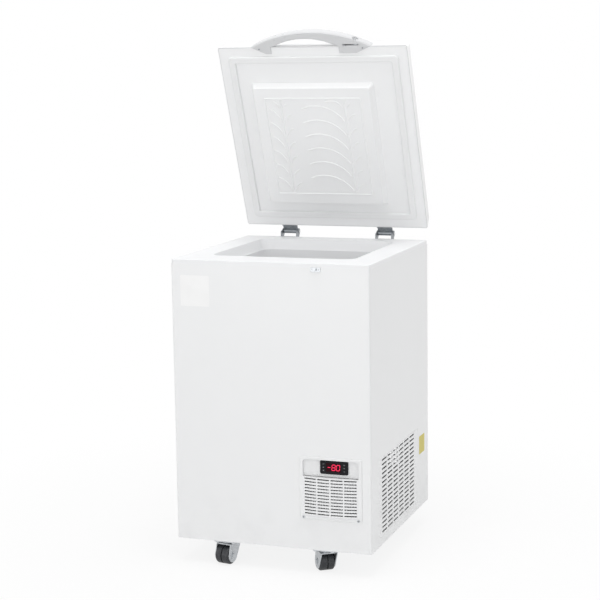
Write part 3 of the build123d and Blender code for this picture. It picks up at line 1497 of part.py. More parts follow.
# Bolts of the caster plates, heads below
plate_bolts = []
bolt_length = plate_sheet + tray_sheet + caster_bolt_end
for corner_x in (-caster_x, caster_x):
    for corner_y in (-caster_spread_y / 2, caster_spread_y / 2):
        for side_x in (-caster_bolt_spacing / 2, caster_bolt_spacing / 2):
            for side_y in (-caster_bolt_spacing / 2, caster_bolt_spacing / 2):
                bolt_place = (corner_x + side_x, corner_y + side_y, plate_bottom - seat_gap)
                bolt_plane = placed(cabinet, bolt_place, z_dir=(0, 0, -1))
                bolt_head = (caster_bolt_head_radius, caster_bolt_head_height)
                plate_bolts.append(screw(bolt_plane, caster_bolt_radius, bolt_length, *bolt_head))
with BuildPart() as caster_bolts:
    add(plate_bolts)
save(caster_bolts.part, "caster_bolts")

# Each caster frame stands on the floor below its kingpin, first direction the way it heads.
caster_frames = {}
for name, turn in caster_turns.items():
    corner_x = caster_x if name.endswith("right") else -caster_x
    corner_y = caster_spread_y / 2 if name.startswith("rear") else -caster_spread_y / 2
    heading = (math.sin(math.radians(turn)), -math.cos(math.radians(turn)), 0)
    caster_frames[name] = placed(cabinet, (corner_x, corner_y, -caster_height), heading)

# Caster forks: crown, two tapering legs with a boss, and the axle between them
fork_inner = wheel_width / 2 + wheel_side_gap
for name, frame in caster_frames.items():
    with BuildPart() as caster_fork:
        with BuildSketch(front_face(frame, 0, fork_inner + fork_sheet, 0)):
            with Locations((-caster_trail, wheel_radius)):
                Circle(fork_tip_radius)
            with Locations((0, fork_top - fork_sheet / 2)):
                Rectangle(fork_length, fork_sheet)
            make_hull()
        extrude(amount=2 * fork_inner + 2 * fork_sheet)
        with BuildSketch(front_face(frame, 0, fork_inner, 0)):
            with Locations((0, (fork_top - fork_sheet) / 2)):
                Rectangle(4 * fork_length, fork_top - fork_sheet)
        extrude(amount=2 * fork_inner, mode=Mode.SUBTRACT)
        boss_y = fork_inner + fork_sheet + fork_boss_height
        with BuildSketch(front_face(frame, -caster_trail, boss_y, wheel_radius)):
            Circle(fork_boss_radius)
        extrude(amount=fork_boss_height + fork_sheet)
        with BuildSketch(front_face(frame, -caster_trail, -boss_y, wheel_radius)):
            Circle(fork_boss_radius)
        extrude(amount=-fork_boss_height - fork_sheet)
        with BuildSketch(front_face(frame, -caster_trail, boss_y + axle_head_height, wheel_radius)):
            Circle(axle_radius)
        extrude(amount=2 * boss_y + 2 * axle_head_height)
        with BuildSketch(front_face(frame, -caster_trail, boss_y + axle_head_height, wheel_radius)):
            Circle(axle_head_radius)
        extrude(amount=axle_head_height)
        with BuildSketch(front_face(frame, -caster_trail, -boss_y, wheel_radius)):
            Circle(axle_head_radius)
        extrude(amount=axle_head_height)
        with BuildSketch(frame.offset(fork_top)):
            Circle(kingpin_radius + kingpin_running_gap)
        extrude(amount=-fork_sheet, mode=Mode.SUBTRACT)
    save(caster_fork.part, f"caster_fork_{name}")

# Caster wheels: tread with a middle groove, dished sides
half_wheel = wheel_width / 2
half_tread = half_wheel - wheel_shoulder
half_groove = wheel_groove / 2
dish_face = half_wheel - wheel_dish_depth
shoulder_radius = wheel_radius - wheel_shoulder
groove_radius = wheel_radius - wheel_groove_depth
for name, frame in caster_frames.items():
    with BuildPart() as caster_wheel:
        with BuildSketch(placed(frame, (-caster_trail, 0, wheel_radius), (0, 1, 0), (1, 0, 0))):
            with BuildLine():
                Polyline(
                    (-half_wheel, shoulder_radius),
                    (-half_wheel, wheel_dish_radius),
                    (-dish_face, wheel_dish_radius),
                    (-dish_face, wheel_hub_radius),
                    (-half_wheel, wheel_hub_radius),
                    (-half_wheel, wheel_bore_radius),
                    (half_wheel, wheel_bore_radius),
                    (half_wheel, wheel_hub_radius),
                    (dish_face, wheel_hub_radius),
                    (dish_face, wheel_dish_radius),
                    (half_wheel, wheel_dish_radius),
                    (half_wheel, shoulder_radius),
                )
                RadiusArc((half_wheel, shoulder_radius), (half_tread, wheel_radius), -wheel_shoulder)
                Polyline(
                    (half_tread, wheel_radius),
                    (half_groove, wheel_radius),
                    (half_groove, groove_radius),
                    (-half_groove, groove_radius),
                    (-half_groove, wheel_radius),
                    (-half_tread, wheel_radius),
                )
                RadiusArc((-half_tread, wheel_radius), (-half_wheel, shoulder_radius), -wheel_shoulder)
            make_face()
        wheel_centre = frame.from_local_coords(Vector(-caster_trail, 0, wheel_radius))
        wheel_axis = Axis(wheel_centre, frame.y_dir)
        revolve(axis=wheel_axis)
    save(caster_wheel.part, f"caster_wheel_{name}")
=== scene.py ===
import math

import bmesh
import bpy
from mathutils import Matrix, Vector


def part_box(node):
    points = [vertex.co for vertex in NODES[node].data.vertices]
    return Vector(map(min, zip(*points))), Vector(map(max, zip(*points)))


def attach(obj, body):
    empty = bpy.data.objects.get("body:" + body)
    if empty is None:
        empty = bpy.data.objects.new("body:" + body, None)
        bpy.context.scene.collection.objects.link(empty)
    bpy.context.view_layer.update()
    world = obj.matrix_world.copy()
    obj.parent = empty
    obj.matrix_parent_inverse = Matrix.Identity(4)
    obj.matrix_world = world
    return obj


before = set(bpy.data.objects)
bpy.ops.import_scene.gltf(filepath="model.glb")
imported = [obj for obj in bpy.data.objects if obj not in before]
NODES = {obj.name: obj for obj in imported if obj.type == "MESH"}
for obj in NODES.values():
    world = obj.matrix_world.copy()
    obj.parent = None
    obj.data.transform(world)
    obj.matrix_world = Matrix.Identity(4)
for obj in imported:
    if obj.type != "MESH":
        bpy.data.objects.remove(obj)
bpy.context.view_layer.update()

# Colours, as linear values
WHITE_COAT = (0.80, 0.805, 0.81)
WHITE_MOULDING = (0.81, 0.815, 0.825)
PAN_WHITE = (0.89, 0.895, 0.90)
PANEL_WHITE = (0.79, 0.795, 0.80)
GASKET_WHITE = (0.84, 0.845, 0.85)
HANDLE_WHITE = (0.64, 0.645, 0.655)
ZINC = (0.56, 0.58, 0.60)
HINGE_ZINC = (0.30, 0.32, 0.34)
BRIGHT_STEEL = (0.72, 0.73, 0.74)
COPPER = (0.70, 0.36, 0.22)
COPPER_TARNISH = (0.30, 0.15, 0.09)
FIN_ALUMINIUM = (0.58, 0.59, 0.60)
GLOSS_BLACK = (0.010, 0.010, 0.012)
MATTE_BLACK = (0.022, 0.022, 0.024)
WHEEL_GREY = (0.018, 0.020, 0.024)
WHEEL_DUST = (0.10, 0.10, 0.105)
WINDOW_RED = (0.030, 0.002, 0.005)
DIGIT_RED = (0.80, 0.012, 0.075)
MARK_GREY = (0.35, 0.36, 0.38)
# Painted shade: the dark in the screw heads' cross recesses
RECESS_SHADE_GREY = (0.04, 0.04, 0.042)
FOAM_CREAM = (0.72, 0.62, 0.38)
MOTOR_GREY = (0.20, 0.21, 0.22)
LABEL_WHITE = (0.87, 0.87, 0.87)
LABEL_YELLOW = (0.56, 0.47, 0.012)
FLOOR_WHITE = (0.86, 0.86, 0.86)
PURE_WHITE = (1.0, 1.0, 1.0)

# Heights above the floor, in metres, between which the floor's dust thins out on the sheet
DUSTY_BELOW = 0.06
CLEAN_ABOVE = 0.30

# Sockets of the Mix node when it mixes colours
MIX_FIRST = 6
MIX_SECOND = 7
MIX_RESULT = 2


class Value:
    """A shader socket that takes part in Python expressions."""

    def __init__(self, shader, socket):
        self.shader = shader
        self.socket = socket

    def math(self, operation, *others):
        return self.shader.math(operation, self, *others)

    def __add__(self, other):
        return self.math("ADD", other)

    __radd__ = __add__

    def __mul__(self, other):
        return self.math("MULTIPLY", other)

    __rmul__ = __mul__

    def __sub__(self, other):
        return self.math("SUBTRACT", other)

    def __rsub__(self, other):
        return self.shader.math("SUBTRACT", other, self)

    def band(self, low, high):
        """0 below low, 1 above high, smooth between."""
        settings = {"interpolation_type": "SMOOTHSTEP"}
        inputs = {"Value": self, "From Min": low, "From Max": high}
        return self.shader.node("ShaderNodeMapRange", settings, inputs)


class Shader:
    """The nodes of a material or of the surroundings."""

    def __init__(self, tree):
        self.tree = tree

    def set(self, node, inputs):
        """Gives sockets their links or numbers. In a name, _ stands for a space."""
        for key, value in inputs.items():
            socket = node.inputs[key.replace("_", " ") if isinstance(key, str) else key]
            if isinstance(value, Value):
                self.tree.links.new(value.socket, socket)
            elif isinstance(value, tuple) and socket.type == "RGBA":
                socket.default_value = (*value, 1.0)
            else:
                socket.default_value = value

    def node(self, kind, settings=None, inputs=None, output=0):
        """Adds a node: first its settings, then its sockets. Returns one output."""
        made = self.tree.nodes.new(kind)
        for key, value in (settings or {}).items():
            setattr(made, key, value)
        self.set(made, inputs or {})
        return Value(self, made.outputs[output])

    def math(self, operation, *values):
        return self.node("ShaderNodeMath", {"operation": operation}, dict(enumerate(values)))

    def in_view(self):
        """1 for what is seen, also mirrored or through glass, and 0 for light that falls on things."""
        straight = self.node("ShaderNodeLightPath", output="Is Camera Ray")
        mirrored = self.node("ShaderNodeLightPath", output="Is Glossy Ray")
        through = self.node("ShaderNodeLightPath", output="Is Transmission Ray")
        return straight.math("MAXIMUM", mirrored).math("MAXIMUM", through)


class Finish(Shader):
    """A material with a Principled surface."""

    def __init__(self, name, **surface):
        self.material = bpy.data.materials.new(name)
        self.material.use_nodes = True
        super().__init__(self.material.node_tree)
        self.surface = self.tree.nodes["Principled BSDF"]
        self.set(self.surface, surface)
        self.place = self.node("ShaderNodeTexCoord", output="Object")

    def noise(self, scale, detail, roughness=0.5, stretch=None):
        """Soft noise over the object, stretched by a factor along each axis."""
        place = self.stretched(stretch) if stretch else self.place
        inputs = {"Vector": place, "Scale": scale, "Detail": detail, "Roughness": roughness}
        return self.node("ShaderNodeTexNoise", inputs=inputs)

    def stretched(self, factors):
        inputs = {0: self.place, 1: factors}
        return self.node("ShaderNodeVectorMath", {"operation": "MULTIPLY"}, inputs)

    def cells(self, scale, output="Distance", feature="F1"):
        """Cells such as crystals or pebbles."""
        inputs = {"Vector": self.place, "Scale": scale}
        return self.node("ShaderNodeTexVoronoi", {"feature": feature}, inputs, output)

    def mix(self, factor, first, second):
        """Mixes two colours, given as tuples or values."""
        inputs = {"Factor": factor, MIX_FIRST: first, MIX_SECOND: second}
        return self.node("ShaderNodeMix", {"data_type": "RGBA"}, inputs, MIX_RESULT)

    def height(self):
        """Height above the floor at rest, in metres."""
        return self.node("ShaderNodeSeparateXYZ", inputs={"Vector": self.place}, output="Z")

    def bump(self, relief, distance, strength):
        """A normal for a relief that is distance metres deep."""
        inputs = {"Height": relief, "Distance": distance, "Strength": strength}
        return self.node("ShaderNodeBump", inputs=inputs)

    def wear(self, **surface):
        """Sets the surface's own sockets and hands over the finished material."""
        self.set(self.surface, surface)
        return self.material


def shade(colour, factor, veil=0.0):
    """A colour made darker or lighter, with an even pale veil added."""
    return tuple(channel * factor + veil for channel in colour)


def powder_coat(name, colour, roughness=0.34):
    """Sprayed sheet: orange peel, faint tone changes and a little dust near the floor."""
    finish = Finish(name, Coat_Weight=0.12, Coat_Roughness=0.2)
    peel = finish.noise(scale=420, detail=2)
    tone = finish.noise(scale=2.2, detail=3)
    near_floor = 1 - finish.height().band(DUSTY_BELOW, CLEAN_ABOVE)
    patches = finish.noise(scale=14, detail=4).band(0.42, 0.70)
    dust = near_floor * patches * 0.35
    clean = finish.mix(tone, shade(colour, 0.975), shade(colour, 1.01))
    return finish.wear(
        Base_Color=finish.mix(dust, clean, shade(colour, 0.90)),
        Roughness=roughness + tone * 0.05 + dust * 0.2,
        Normal=finish.bump(peel, distance=0.00012, strength=0.35),
    )


def moulding(name, colour, roughness=0.42, grain=1500, relief=0.00006):
    """Moulded or vacuum-formed plastic: fine grain, slow tone changes, handling marks."""
    finish = Finish(name)
    fine_grain = finish.noise(scale=grain, detail=2)
    flow = finish.noise(scale=5, detail=3)
    rubbed = finish.noise(scale=38, detail=5, roughness=0.6).band(0.50, 0.72)
    return finish.wear(
        Base_Color=finish.mix(flow, shade(colour, 0.965), shade(colour, 1.02)),
        Roughness=roughness + flow * 0.06 - rubbed * 0.07,
        Normal=finish.bump(fine_grain + rubbed * 0.2, relief, strength=0.6),
    )


def spangled_zinc(name, colour, crystal_scale=160, roughness=0.36):
    """Galvanised sheet: crystal spangle in tone and gloss, grey oxide in patches."""
    finish = Finish(name, Metallic=0.92)
    crystal_colour = finish.cells(crystal_scale, "Color")
    crystal = finish.node("ShaderNodeSeparateColor", inputs={"Color": crystal_colour})
    oxide = finish.noise(scale=24, detail=5, roughness=0.62).band(0.48, 0.70)
    spangle = finish.mix(crystal, shade(colour, 0.78), shade(colour, 1.12))
    return finish.wear(
        Base_Color=finish.mix(oxide * 0.6, spangle, shade(colour, 0.62)),
        Roughness=roughness + crystal * 0.12 + oxide * 0.16,
        Normal=finish.bump(crystal, distance=0.00005, strength=0.5),
    )


def turned_steel(name, colour, roughness):
    """Plated steel: fine turning lines and light scuffs."""
    finish = Finish(name, Metallic=1.0)
    lines = finish.noise(scale=900, detail=2, stretch=(1.0, 0.15, 1.0))
    scuffs = finish.noise(scale=130, detail=4, roughness=0.6).band(0.55, 0.75)
    return finish.wear(
        Base_Color=finish.mix(scuffs * 0.5, colour, shade(colour, 0.72)),
        Roughness=roughness + lines * 0.10 + scuffs * 0.16,
        Normal=finish.bump(lines, distance=0.00002, strength=0.5),
    )


def copper_tube(name):
    """Drawn copper: dull brown tarnish over bright metal, fine draw lines."""
    finish = Finish(name, Metallic=1.0)
    tarnish = finish.noise(scale=60, detail=5, roughness=0.62).band(0.35, 0.72)
    draw_lines = finish.noise(scale=700, detail=2, stretch=(1.0, 1.0, 0.1))
    return finish.wear(
        Base_Color=finish.mix(tarnish, COPPER, COPPER_TARNISH),
        Roughness=0.24 + tarnish * 0.26 + draw_lines * 0.05,
        Normal=finish.bump(draw_lines, distance=0.00003, strength=0.5),
    )


def vulcanised(name, colour, roughness):
    """Rubber: dull, with fine pores and a faint bloom."""
    finish = Finish(name)
    pores = finish.noise(scale=1100, detail=3, roughness=0.6)
    bloom = finish.noise(scale=34, detail=4, roughness=0.6).band(0.45, 0.75)
    return finish.wear(
        Base_Color=finish.mix(bloom * 0.5, colour, shade(colour, 1.25, veil=0.012)),
        Roughness=roughness + bloom * 0.16,
        Normal=finish.bump(pores, distance=0.00008, strength=0.7),
    )


def wheel_tread(name):
    """Dark caster wheel: fine pores and pale floor dust caught on the tread."""
    finish = Finish(name)
    pores = finish.noise(scale=900, detail=3, roughness=0.6)
    dust = finish.noise(scale=55, detail=5, roughness=0.65).band(0.44, 0.70)
    return finish.wear(
        Base_Color=finish.mix(dust * 0.4, WHEEL_GREY, WHEEL_DUST),
        Roughness=0.42 + dust * 0.25,
        Normal=finish.bump(pores + dust * 0.4, distance=0.00010, strength=0.7),
    )


def enamel(name, colour, roughness=0.3):
    """Enamel of machine parts: soft drips, with dust in patches."""
    finish = Finish(name, Coat_Weight=0.25, Coat_Roughness=0.25)
    drips = finish.noise(scale=46, detail=3, stretch=(1.0, 1.0, 0.35))
    dust = finish.noise(scale=120, detail=5, roughness=0.65).band(0.50, 0.78)
    return finish.wear(
        Base_Color=finish.mix(dust * 0.4, colour, shade(colour, 0.8, veil=0.05)),
        Roughness=roughness + dust * 0.25,
        Normal=finish.bump(drips, distance=0.0004, strength=0.4),
    )


def cut_foam(name):
    """Closed-cell foam: small cells, darker skin in patches."""
    finish = Finish(name, Roughness=0.9)
    cell = finish.cells(scale=700)
    skin = finish.noise(scale=11, detail=4).band(0.4, 0.7)
    return finish.wear(
        Base_Color=finish.mix(skin, FOAM_CREAM, shade(FOAM_CREAM, 0.72)),
        Normal=finish.bump(cell, distance=0.0004, strength=0.8),
    )


def stucco_sheet(name):
    """Coated aluminium of the well: pebble embossing and slow tone changes."""
    finish = Finish(name, Coat_Weight=0.1, Coat_Roughness=0.3)
    pebbles = finish.cells(scale=300, feature="SMOOTH_F1")
    tone = finish.noise(scale=3, detail=3)
    return finish.wear(
        Base_Color=finish.mix(tone, shade(PAN_WHITE, 0.96), PAN_WHITE),
        Roughness=0.30 + tone * 0.12,
        Normal=finish.bump(pebbles, distance=0.00025, strength=0.45),
    )


def dark_window(name):
    """Tinted display window: deep red plastic with a gloss face and faint wipes."""
    finish = Finish(name, Specular_IOR_Level=0.12)
    wipes = finish.noise(scale=90, detail=4, roughness=0.6, stretch=(0.3, 1.0, 1.0))
    return finish.wear(
        Base_Color=finish.mix(wipes, WINDOW_RED, shade(WINDOW_RED, 0.6)),
        Roughness=0.08 + wipes * 0.10,
        Normal=finish.bump(wipes, distance=0.00001, strength=0.3),
    )


def gloss_bezel(name, colour, roughness=0.16):
    """Polished black moulding: fine hairlines from wiping."""
    finish = Finish(name, Specular_IOR_Level=0.15)
    hairlines = finish.noise(scale=260, detail=4, roughness=0.7, stretch=(1.0, 1.0, 0.12))
    wiped = hairlines.band(0.55, 0.75)
    tone = finish.noise(scale=30, detail=3)
    return finish.wear(
        Base_Color=finish.mix(wiped * 0.5, colour, shade(colour, 2.2)),
        Roughness=roughness + wiped * 0.12 + tone * 0.05,
        Normal=finish.bump(tone, distance=0.00003, strength=0.4),
    )


def lit_segment(name):
    """Lit digit segment with a slightly uneven glow."""
    finish = Finish(name, Roughness=0.4, Emission_Strength=1.1)
    glow = finish.noise(scale=500, detail=2)
    return finish.wear(
        Base_Color=finish.mix(glow, DIGIT_RED, shade(DIGIT_RED, 0.7)),
        Emission_Color=finish.mix(glow, DIGIT_RED, shade(DIGIT_RED, 0.75)),
    )


def printed_film(name, colour, roughness=0.32):
    """Plain film or ink: slight gloss, a soft fibre in the face."""
    finish = Finish(name, Coat_Weight=0.15, Coat_Roughness=0.2)
    fibre = finish.noise(scale=800, detail=3, roughness=0.6)
    tone = finish.noise(scale=26, detail=3)
    return finish.wear(
        Base_Color=finish.mix(tone, colour, shade(colour, 0.93)),
        Roughness=roughness + fibre * 0.10,
        Normal=finish.bump(fibre, distance=0.00003, strength=0.5),
    )


FINISHES = {
    "sheet_coat": powder_coat("sheet_coat", WHITE_COAT),
    "lid_coat": powder_coat("lid_coat", WHITE_COAT, 0.30),
    "white_moulding": moulding("white_moulding", WHITE_MOULDING),
    "formed_pan": moulding("formed_pan", PAN_WHITE, 0.34, grain=700, relief=0.00009),
    "panel_moulding": moulding("panel_moulding", PANEL_WHITE, 0.46, grain=1900, relief=0.00010),
    "handle_moulding": moulding("handle_moulding", HANDLE_WHITE, 0.30, grain=1200, relief=0.00005),
    "gasket_vinyl": moulding("gasket_vinyl", GASKET_WHITE, 0.50, grain=900, relief=0.00007),
    "well_sheet": stucco_sheet("well_sheet"),
    "zinc_sheet": spangled_zinc("zinc_sheet", ZINC),
    "zinc_fitting": spangled_zinc("zinc_fitting", ZINC, 420, 0.30),
    "hinge_zinc": spangled_zinc("hinge_zinc", HINGE_ZINC, 300, 0.32),
    "bright_steel": turned_steel("bright_steel", BRIGHT_STEEL, 0.14),
    "screw_steel": turned_steel("screw_steel", ZINC, 0.28),
    "copper": copper_tube("copper"),
    "fin_aluminium": turned_steel("fin_aluminium", FIN_ALUMINIUM, 0.38),
    "bezel_black": gloss_bezel("bezel_black", GLOSS_BLACK),
    "key_black": gloss_bezel("key_black", MATTE_BLACK, 0.36),
    "display_window": dark_window("display_window"),
    "terminal_black": moulding("terminal_black", MATTE_BLACK, 0.5),
    "fan_black": moulding("fan_black", MATTE_BLACK, 0.4),
    "grommet_rubber": vulcanised("grommet_rubber", MATTE_BLACK, 0.7),
    "wheel_tyre": wheel_tread("wheel_tyre"),
    "can_enamel": enamel("can_enamel", MATTE_BLACK),
    "motor_enamel": enamel("motor_enamel", MOTOR_GREY),
    "foam": cut_foam("foam"),
    "lit_segment": lit_segment("lit_segment"),
    "key_mark": printed_film("key_mark", MARK_GREY, 0.4),
    "label_white": printed_film("label_white", LABEL_WHITE),
    "label_yellow": printed_film("label_yellow", LABEL_YELLOW),
    # Painted shade for the screw recesses: a dark film in place of the shade in each cross
    "recess_shadow": moulding("recess_shadow", RECESS_SHADE_GREY, 0.6),
}

CORNERS = ("front_left", "front_right", "rear_left", "rear_right")
KEYS = ("set", "light", "defrost", "up", "down", "power")
SCREWS = ("grille_screws", "strike_screws", "hinge_screws", "leaf_screws", "handle_screws")
NODE_FINISH = {
    "sheet_coat": ["cabinet_wrap", "rear_panel", "side_vent_grille"],
    "lid_coat": ["lid_shell"],
    "white_moulding": ["top_collar"],
    "formed_pan": ["lid_liner"],
    "panel_moulding": ["front_grille"],
    "handle_moulding": ["lid_handle"],
    "gasket_vinyl": ["lid_gasket"],
    "well_sheet": ["inner_liner"],
    "zinc_sheet": ["base_tray", "compartment_deck", "fan_shroud", "electrical_box", "electrical_cover"],
    "hinge_zinc": ["hinge_brackets", "hinge_leaves"],
    "zinc_fitting": ["strike_plate", "lock_hook", "caster_plates"]
    + ["caster_fork_" + corner for corner in CORNERS],
    "bright_steel": ["hinge_pins", "lock_barrel", "lock_plug", "temperature_probe"],
    "screw_steel": [*SCREWS, "caster_bolts"],
    "copper": ["evaporator_coil", "filter_drier", "discharge_pipe", "liquid_pipe", "suction_pipe"],
    "fin_aluminium": ["condenser"],
    "bezel_black": ["controller_case"],
    "key_black": ["key_" + key for key in KEYS],
    "display_window": ["display_window"],
    "terminal_black": ["terminal_box", "mains_inlet"],
    "fan_black": ["fan_blade"],
    "grommet_rubber": ["compressor_feet"],
    "wheel_tyre": ["caster_wheel_" + corner for corner in CORNERS],
    "can_enamel": ["compressor"],
    "motor_enamel": ["fan_motor"],
    "foam": ["foam_insulation", "lid_foam"],
}
for finish_name, node_names in NODE_FINISH.items():
    for node_name in node_names:
        for material_slot in NODES[node_name].material_slots:
            material_slot.material = FINISHES[finish_name]

RIGHT = Vector((1, 0, 0))
UP = Vector((0, 0, 1))
BACK = Vector((0, 1, 0))

# Thicknesses of the films that lie on faces, in metres
FILM = 0.0003
MARK_FILM = FILM / 3
# The screw recesses' painted shade lies on the heads as a film
RECESS_SHADE_FILM = FILM / 4


def piece(name, mesh, finish_name, body):
    """Puts a finished mesh in the scene, riding on a body."""
    made = bpy.data.objects.new(name, mesh)
    bpy.context.scene.collection.objects.link(made)
    mesh.materials.append(FINISHES[finish_name])
    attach(made, body)


def mesh_of(name, draw, *details):
    """A mesh made by a function that draws into an empty shape, given some details."""
    shape = bmesh.new()
    draw(shape, *details)
    mesh = bpy.data.meshes.new(name)
    shape.to_mesh(mesh)
    shape.free()
    return mesh


def plate(shape, origin, right, up, outline, thickness):
    """A plate with a given outline, standing out from a face towards right x up."""
    outward = right.cross(up)
    bottom = [shape.verts.new(origin + right * x + up * y) for x, y in outline]
    top = [shape.verts.new(origin + right * x + up * y + outward * thickness) for x, y in outline]
    shape.faces.new(top)
    shape.faces.new(list(reversed(bottom)))
    for place, low in enumerate(bottom):
        after = (place + 1) % len(bottom)
        shape.faces.new((low, bottom[after], top[after], top[place]))


def rounded_outline(width, height, radius, steps=5):
    """Points of a rounded rectangle round zero, anticlockwise."""
    points = []
    for quarter, (side_x, side_y) in enumerate(((1, 1), (-1, 1), (-1, -1), (1, -1))):
        centre_x = side_x * (width / 2 - radius)
        centre_y = side_y * (height / 2 - radius)
        for step in range(steps + 1):
            angle = math.pi / 2 * (quarter + step / steps)
            points.append((centre_x + radius * math.cos(angle), centre_y + radius * math.sin(angle)))
    return points


def span(node):
    """The lowest corner, highest corner and middle of a node."""
    low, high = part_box(node)
    return low, high, (low + high) / 2


# Blank labels: a white square on the front and a yellow one on the side's rear strip
LABEL_CORNER = 0.003
FRONT_LABEL_SIZE = 0.082
FRONT_LABEL_INSET = 0.026
FRONT_LABEL_DROP = 0.030
SIDE_LABEL_WIDTH = 0.055
SIDE_LABEL_HEIGHT = 0.052
SIDE_LABEL_BEHIND = 0.213
SIDE_LABEL_RISE = 0.182
wrap_low, wrap_high, wrap_middle = span("cabinet_wrap")


def label(name, finish_name, centre, right, width, height):
    """A blank film with rounded corners, upright on a cabinet face."""
    outline = rounded_outline(width, height, LABEL_CORNER)
    mesh = mesh_of(name, plate, centre, right, UP, outline, FILM)
    piece(name, mesh, finish_name, "cabinet")


front_label_x = wrap_low.x + FRONT_LABEL_INSET + FRONT_LABEL_SIZE / 2
front_label_z = wrap_high.z - FRONT_LABEL_DROP - FRONT_LABEL_SIZE / 2
front_centre = Vector((front_label_x, wrap_low.y, front_label_z))
label("front_label", "label_white", front_centre, RIGHT, FRONT_LABEL_SIZE, FRONT_LABEL_SIZE)

side_label_y = wrap_middle.y + SIDE_LABEL_BEHIND
side_centre = Vector((wrap_high.x, side_label_y, wrap_low.z + SIDE_LABEL_RISE))
label("side_label", "label_yellow", side_centre, BACK, SIDE_LABEL_WIDTH, SIDE_LABEL_HEIGHT)

# Lit digits on the display window: minus, eight, zero in seven segments each
DIGITS = "-80"
DIGIT_HEIGHT = 0.0165
DIGIT_WIDTH = 0.0105
DIGIT_PITCH = 0.0125
DIGIT_STROKE = 0.0017
DIGIT_LEAN = 0.10
SEGMENT_GAP = 0.0003
SEGMENTS = {"-": "g", "8": "abcdefg", "0": "abcdef"}
# Ends of each segment, in half widths and quarter heights of a digit
SEGMENT_ENDS = {
    "a": ((-1, 2), (1, 2)),
    "b": ((1, 2), (1, 0)),
    "c": ((1, 0), (1, -2)),
    "d": ((-1, -2), (1, -2)),
    "e": ((-1, 0), (-1, -2)),
    "f": ((-1, 2), (-1, 0)),
    "g": ((-1, 0), (1, 0)),
}
window_low, _, window_middle = span("display_window")


def segment_outline(start, end):
    """A bar with pointed ends between two places of a digit."""
    half = DIGIT_STROKE / 2
    along = (end - start).normalized()
    across = Vector((-along.y, along.x))
    first = start + along * SEGMENT_GAP
    last = end - along * SEGMENT_GAP
    corners = (
        first,
        first + (along - across) * half,
        last - (along + across) * half,
        last,
        last - (along - across) * half,
        first + (along + across) * half,
    )
    return [(corner.x + corner.y * DIGIT_LEAN, corner.y) for corner in corners]


def draw_digits(shape):
    """The lit segments of all digits, centred on the window."""
    half_width = (DIGIT_WIDTH - DIGIT_STROKE) / 2
    quarter_height = (DIGIT_HEIGHT - DIGIT_STROKE) / 4
    for place, character in enumerate(DIGITS):
        centre_x = window_middle.x + (place - 1) * DIGIT_PITCH
        centre = Vector((centre_x, window_low.y, window_middle.z))
        for segment in SEGMENTS[character]:
            ends = [Vector((x * half_width, y * quarter_height)) for x, y in SEGMENT_ENDS[segment]]
            plate(shape, centre, RIGHT, UP, segment_outline(*ends), MARK_FILM)


piece("display_digits", mesh_of("display_digits", draw_digits), "lit_segment", "cabinet")

# Plain marks on the keys: two arrows, a bar, a dot, three strokes and one stroke
MARK_SIZE = 0.0012
DOT_CORNERS = 8


def stroke(x):
    """A short upright stroke at x."""
    return [(x - 0.25, -1), (x + 0.25, -1), (x + 0.25, 1), (x - 0.25, 1)]


dot_angles = [2 * math.pi * corner / DOT_CORNERS for corner in range(DOT_CORNERS)]
MARK_OUTLINES = {
    "up": [[(-1, -0.7), (1, -0.7), (0, 1)]],
    "down": [[(-1, 0.7), (0, -1), (1, 0.7)]],
    "set": [[(-1.2, -0.3), (1.2, -0.3), (1.2, 0.3), (-1.2, 0.3)]],
    "light": [[(math.cos(angle), math.sin(angle)) for angle in dot_angles]],
    "defrost": [stroke(-0.7), stroke(0), stroke(0.7)],
    "power": [stroke(0)],
}


def draw_mark(shape, centre, outlines):
    """The plates of one key's mark."""
    for outline in outlines:
        scaled = [(x * MARK_SIZE, y * MARK_SIZE) for x, y in outline]
        plate(shape, centre, RIGHT, UP, scaled, MARK_FILM)


for key, outlines in MARK_OUTLINES.items():
    key_low, _, key_middle = span("key_" + key)
    key_face = Vector((key_middle.x, key_low.y, key_middle.z))
    mark_name = "key_mark_" + key
    mark_mesh = mesh_of(mark_name, draw_mark, key_face, outlines)
    piece(mark_name, mark_mesh, "key_mark", "key_" + key)

# The lid's own directions, at the angle where it rests open
LID_ANGLE = math.radians(68)
lid_sine = math.sin(LID_ANGLE)
lid_cosine = math.cos(LID_ANGLE)
LID_BACK = Vector((0, lid_cosine, -lid_sine))
LID_UNDER = Vector((0, -lid_sine, -lid_cosine))

# Cross recesses in the screw heads that face out, drawn as painted shade: a dark film cross on each
# head, with no hollow
SCREW_FACES = {
    "grille_screws": (-BACK, "cabinet"),
    "strike_screws": (-BACK, "cabinet"),
    "hinge_screws": (BACK, "cabinet"),
    "leaf_screws": (LID_BACK, "lid"),
    "handle_screws": (LID_UNDER, "lid"),
}
RECESS_ARM = 0.62
RECESS_BAR = 0.13
WELD_DISTANCE = 0.00001
FACE_DEPTH = 0.00005


def separate_parts(solid):
    """The vertices of a shape, one list for each part that hangs together."""
    taken = set()
    parts = []
    for first in solid.verts:
        if first in taken:
            continue
        taken.add(first)
        part = [first]
        for vertex in part:
            neighbours = [edge.other_vert(vertex) for edge in vertex.link_edges]
            fresh = [neighbour for neighbour in neighbours if neighbour not in taken]
            taken.update(fresh)
            part.extend(fresh)
        parts.append(part)
    return parts


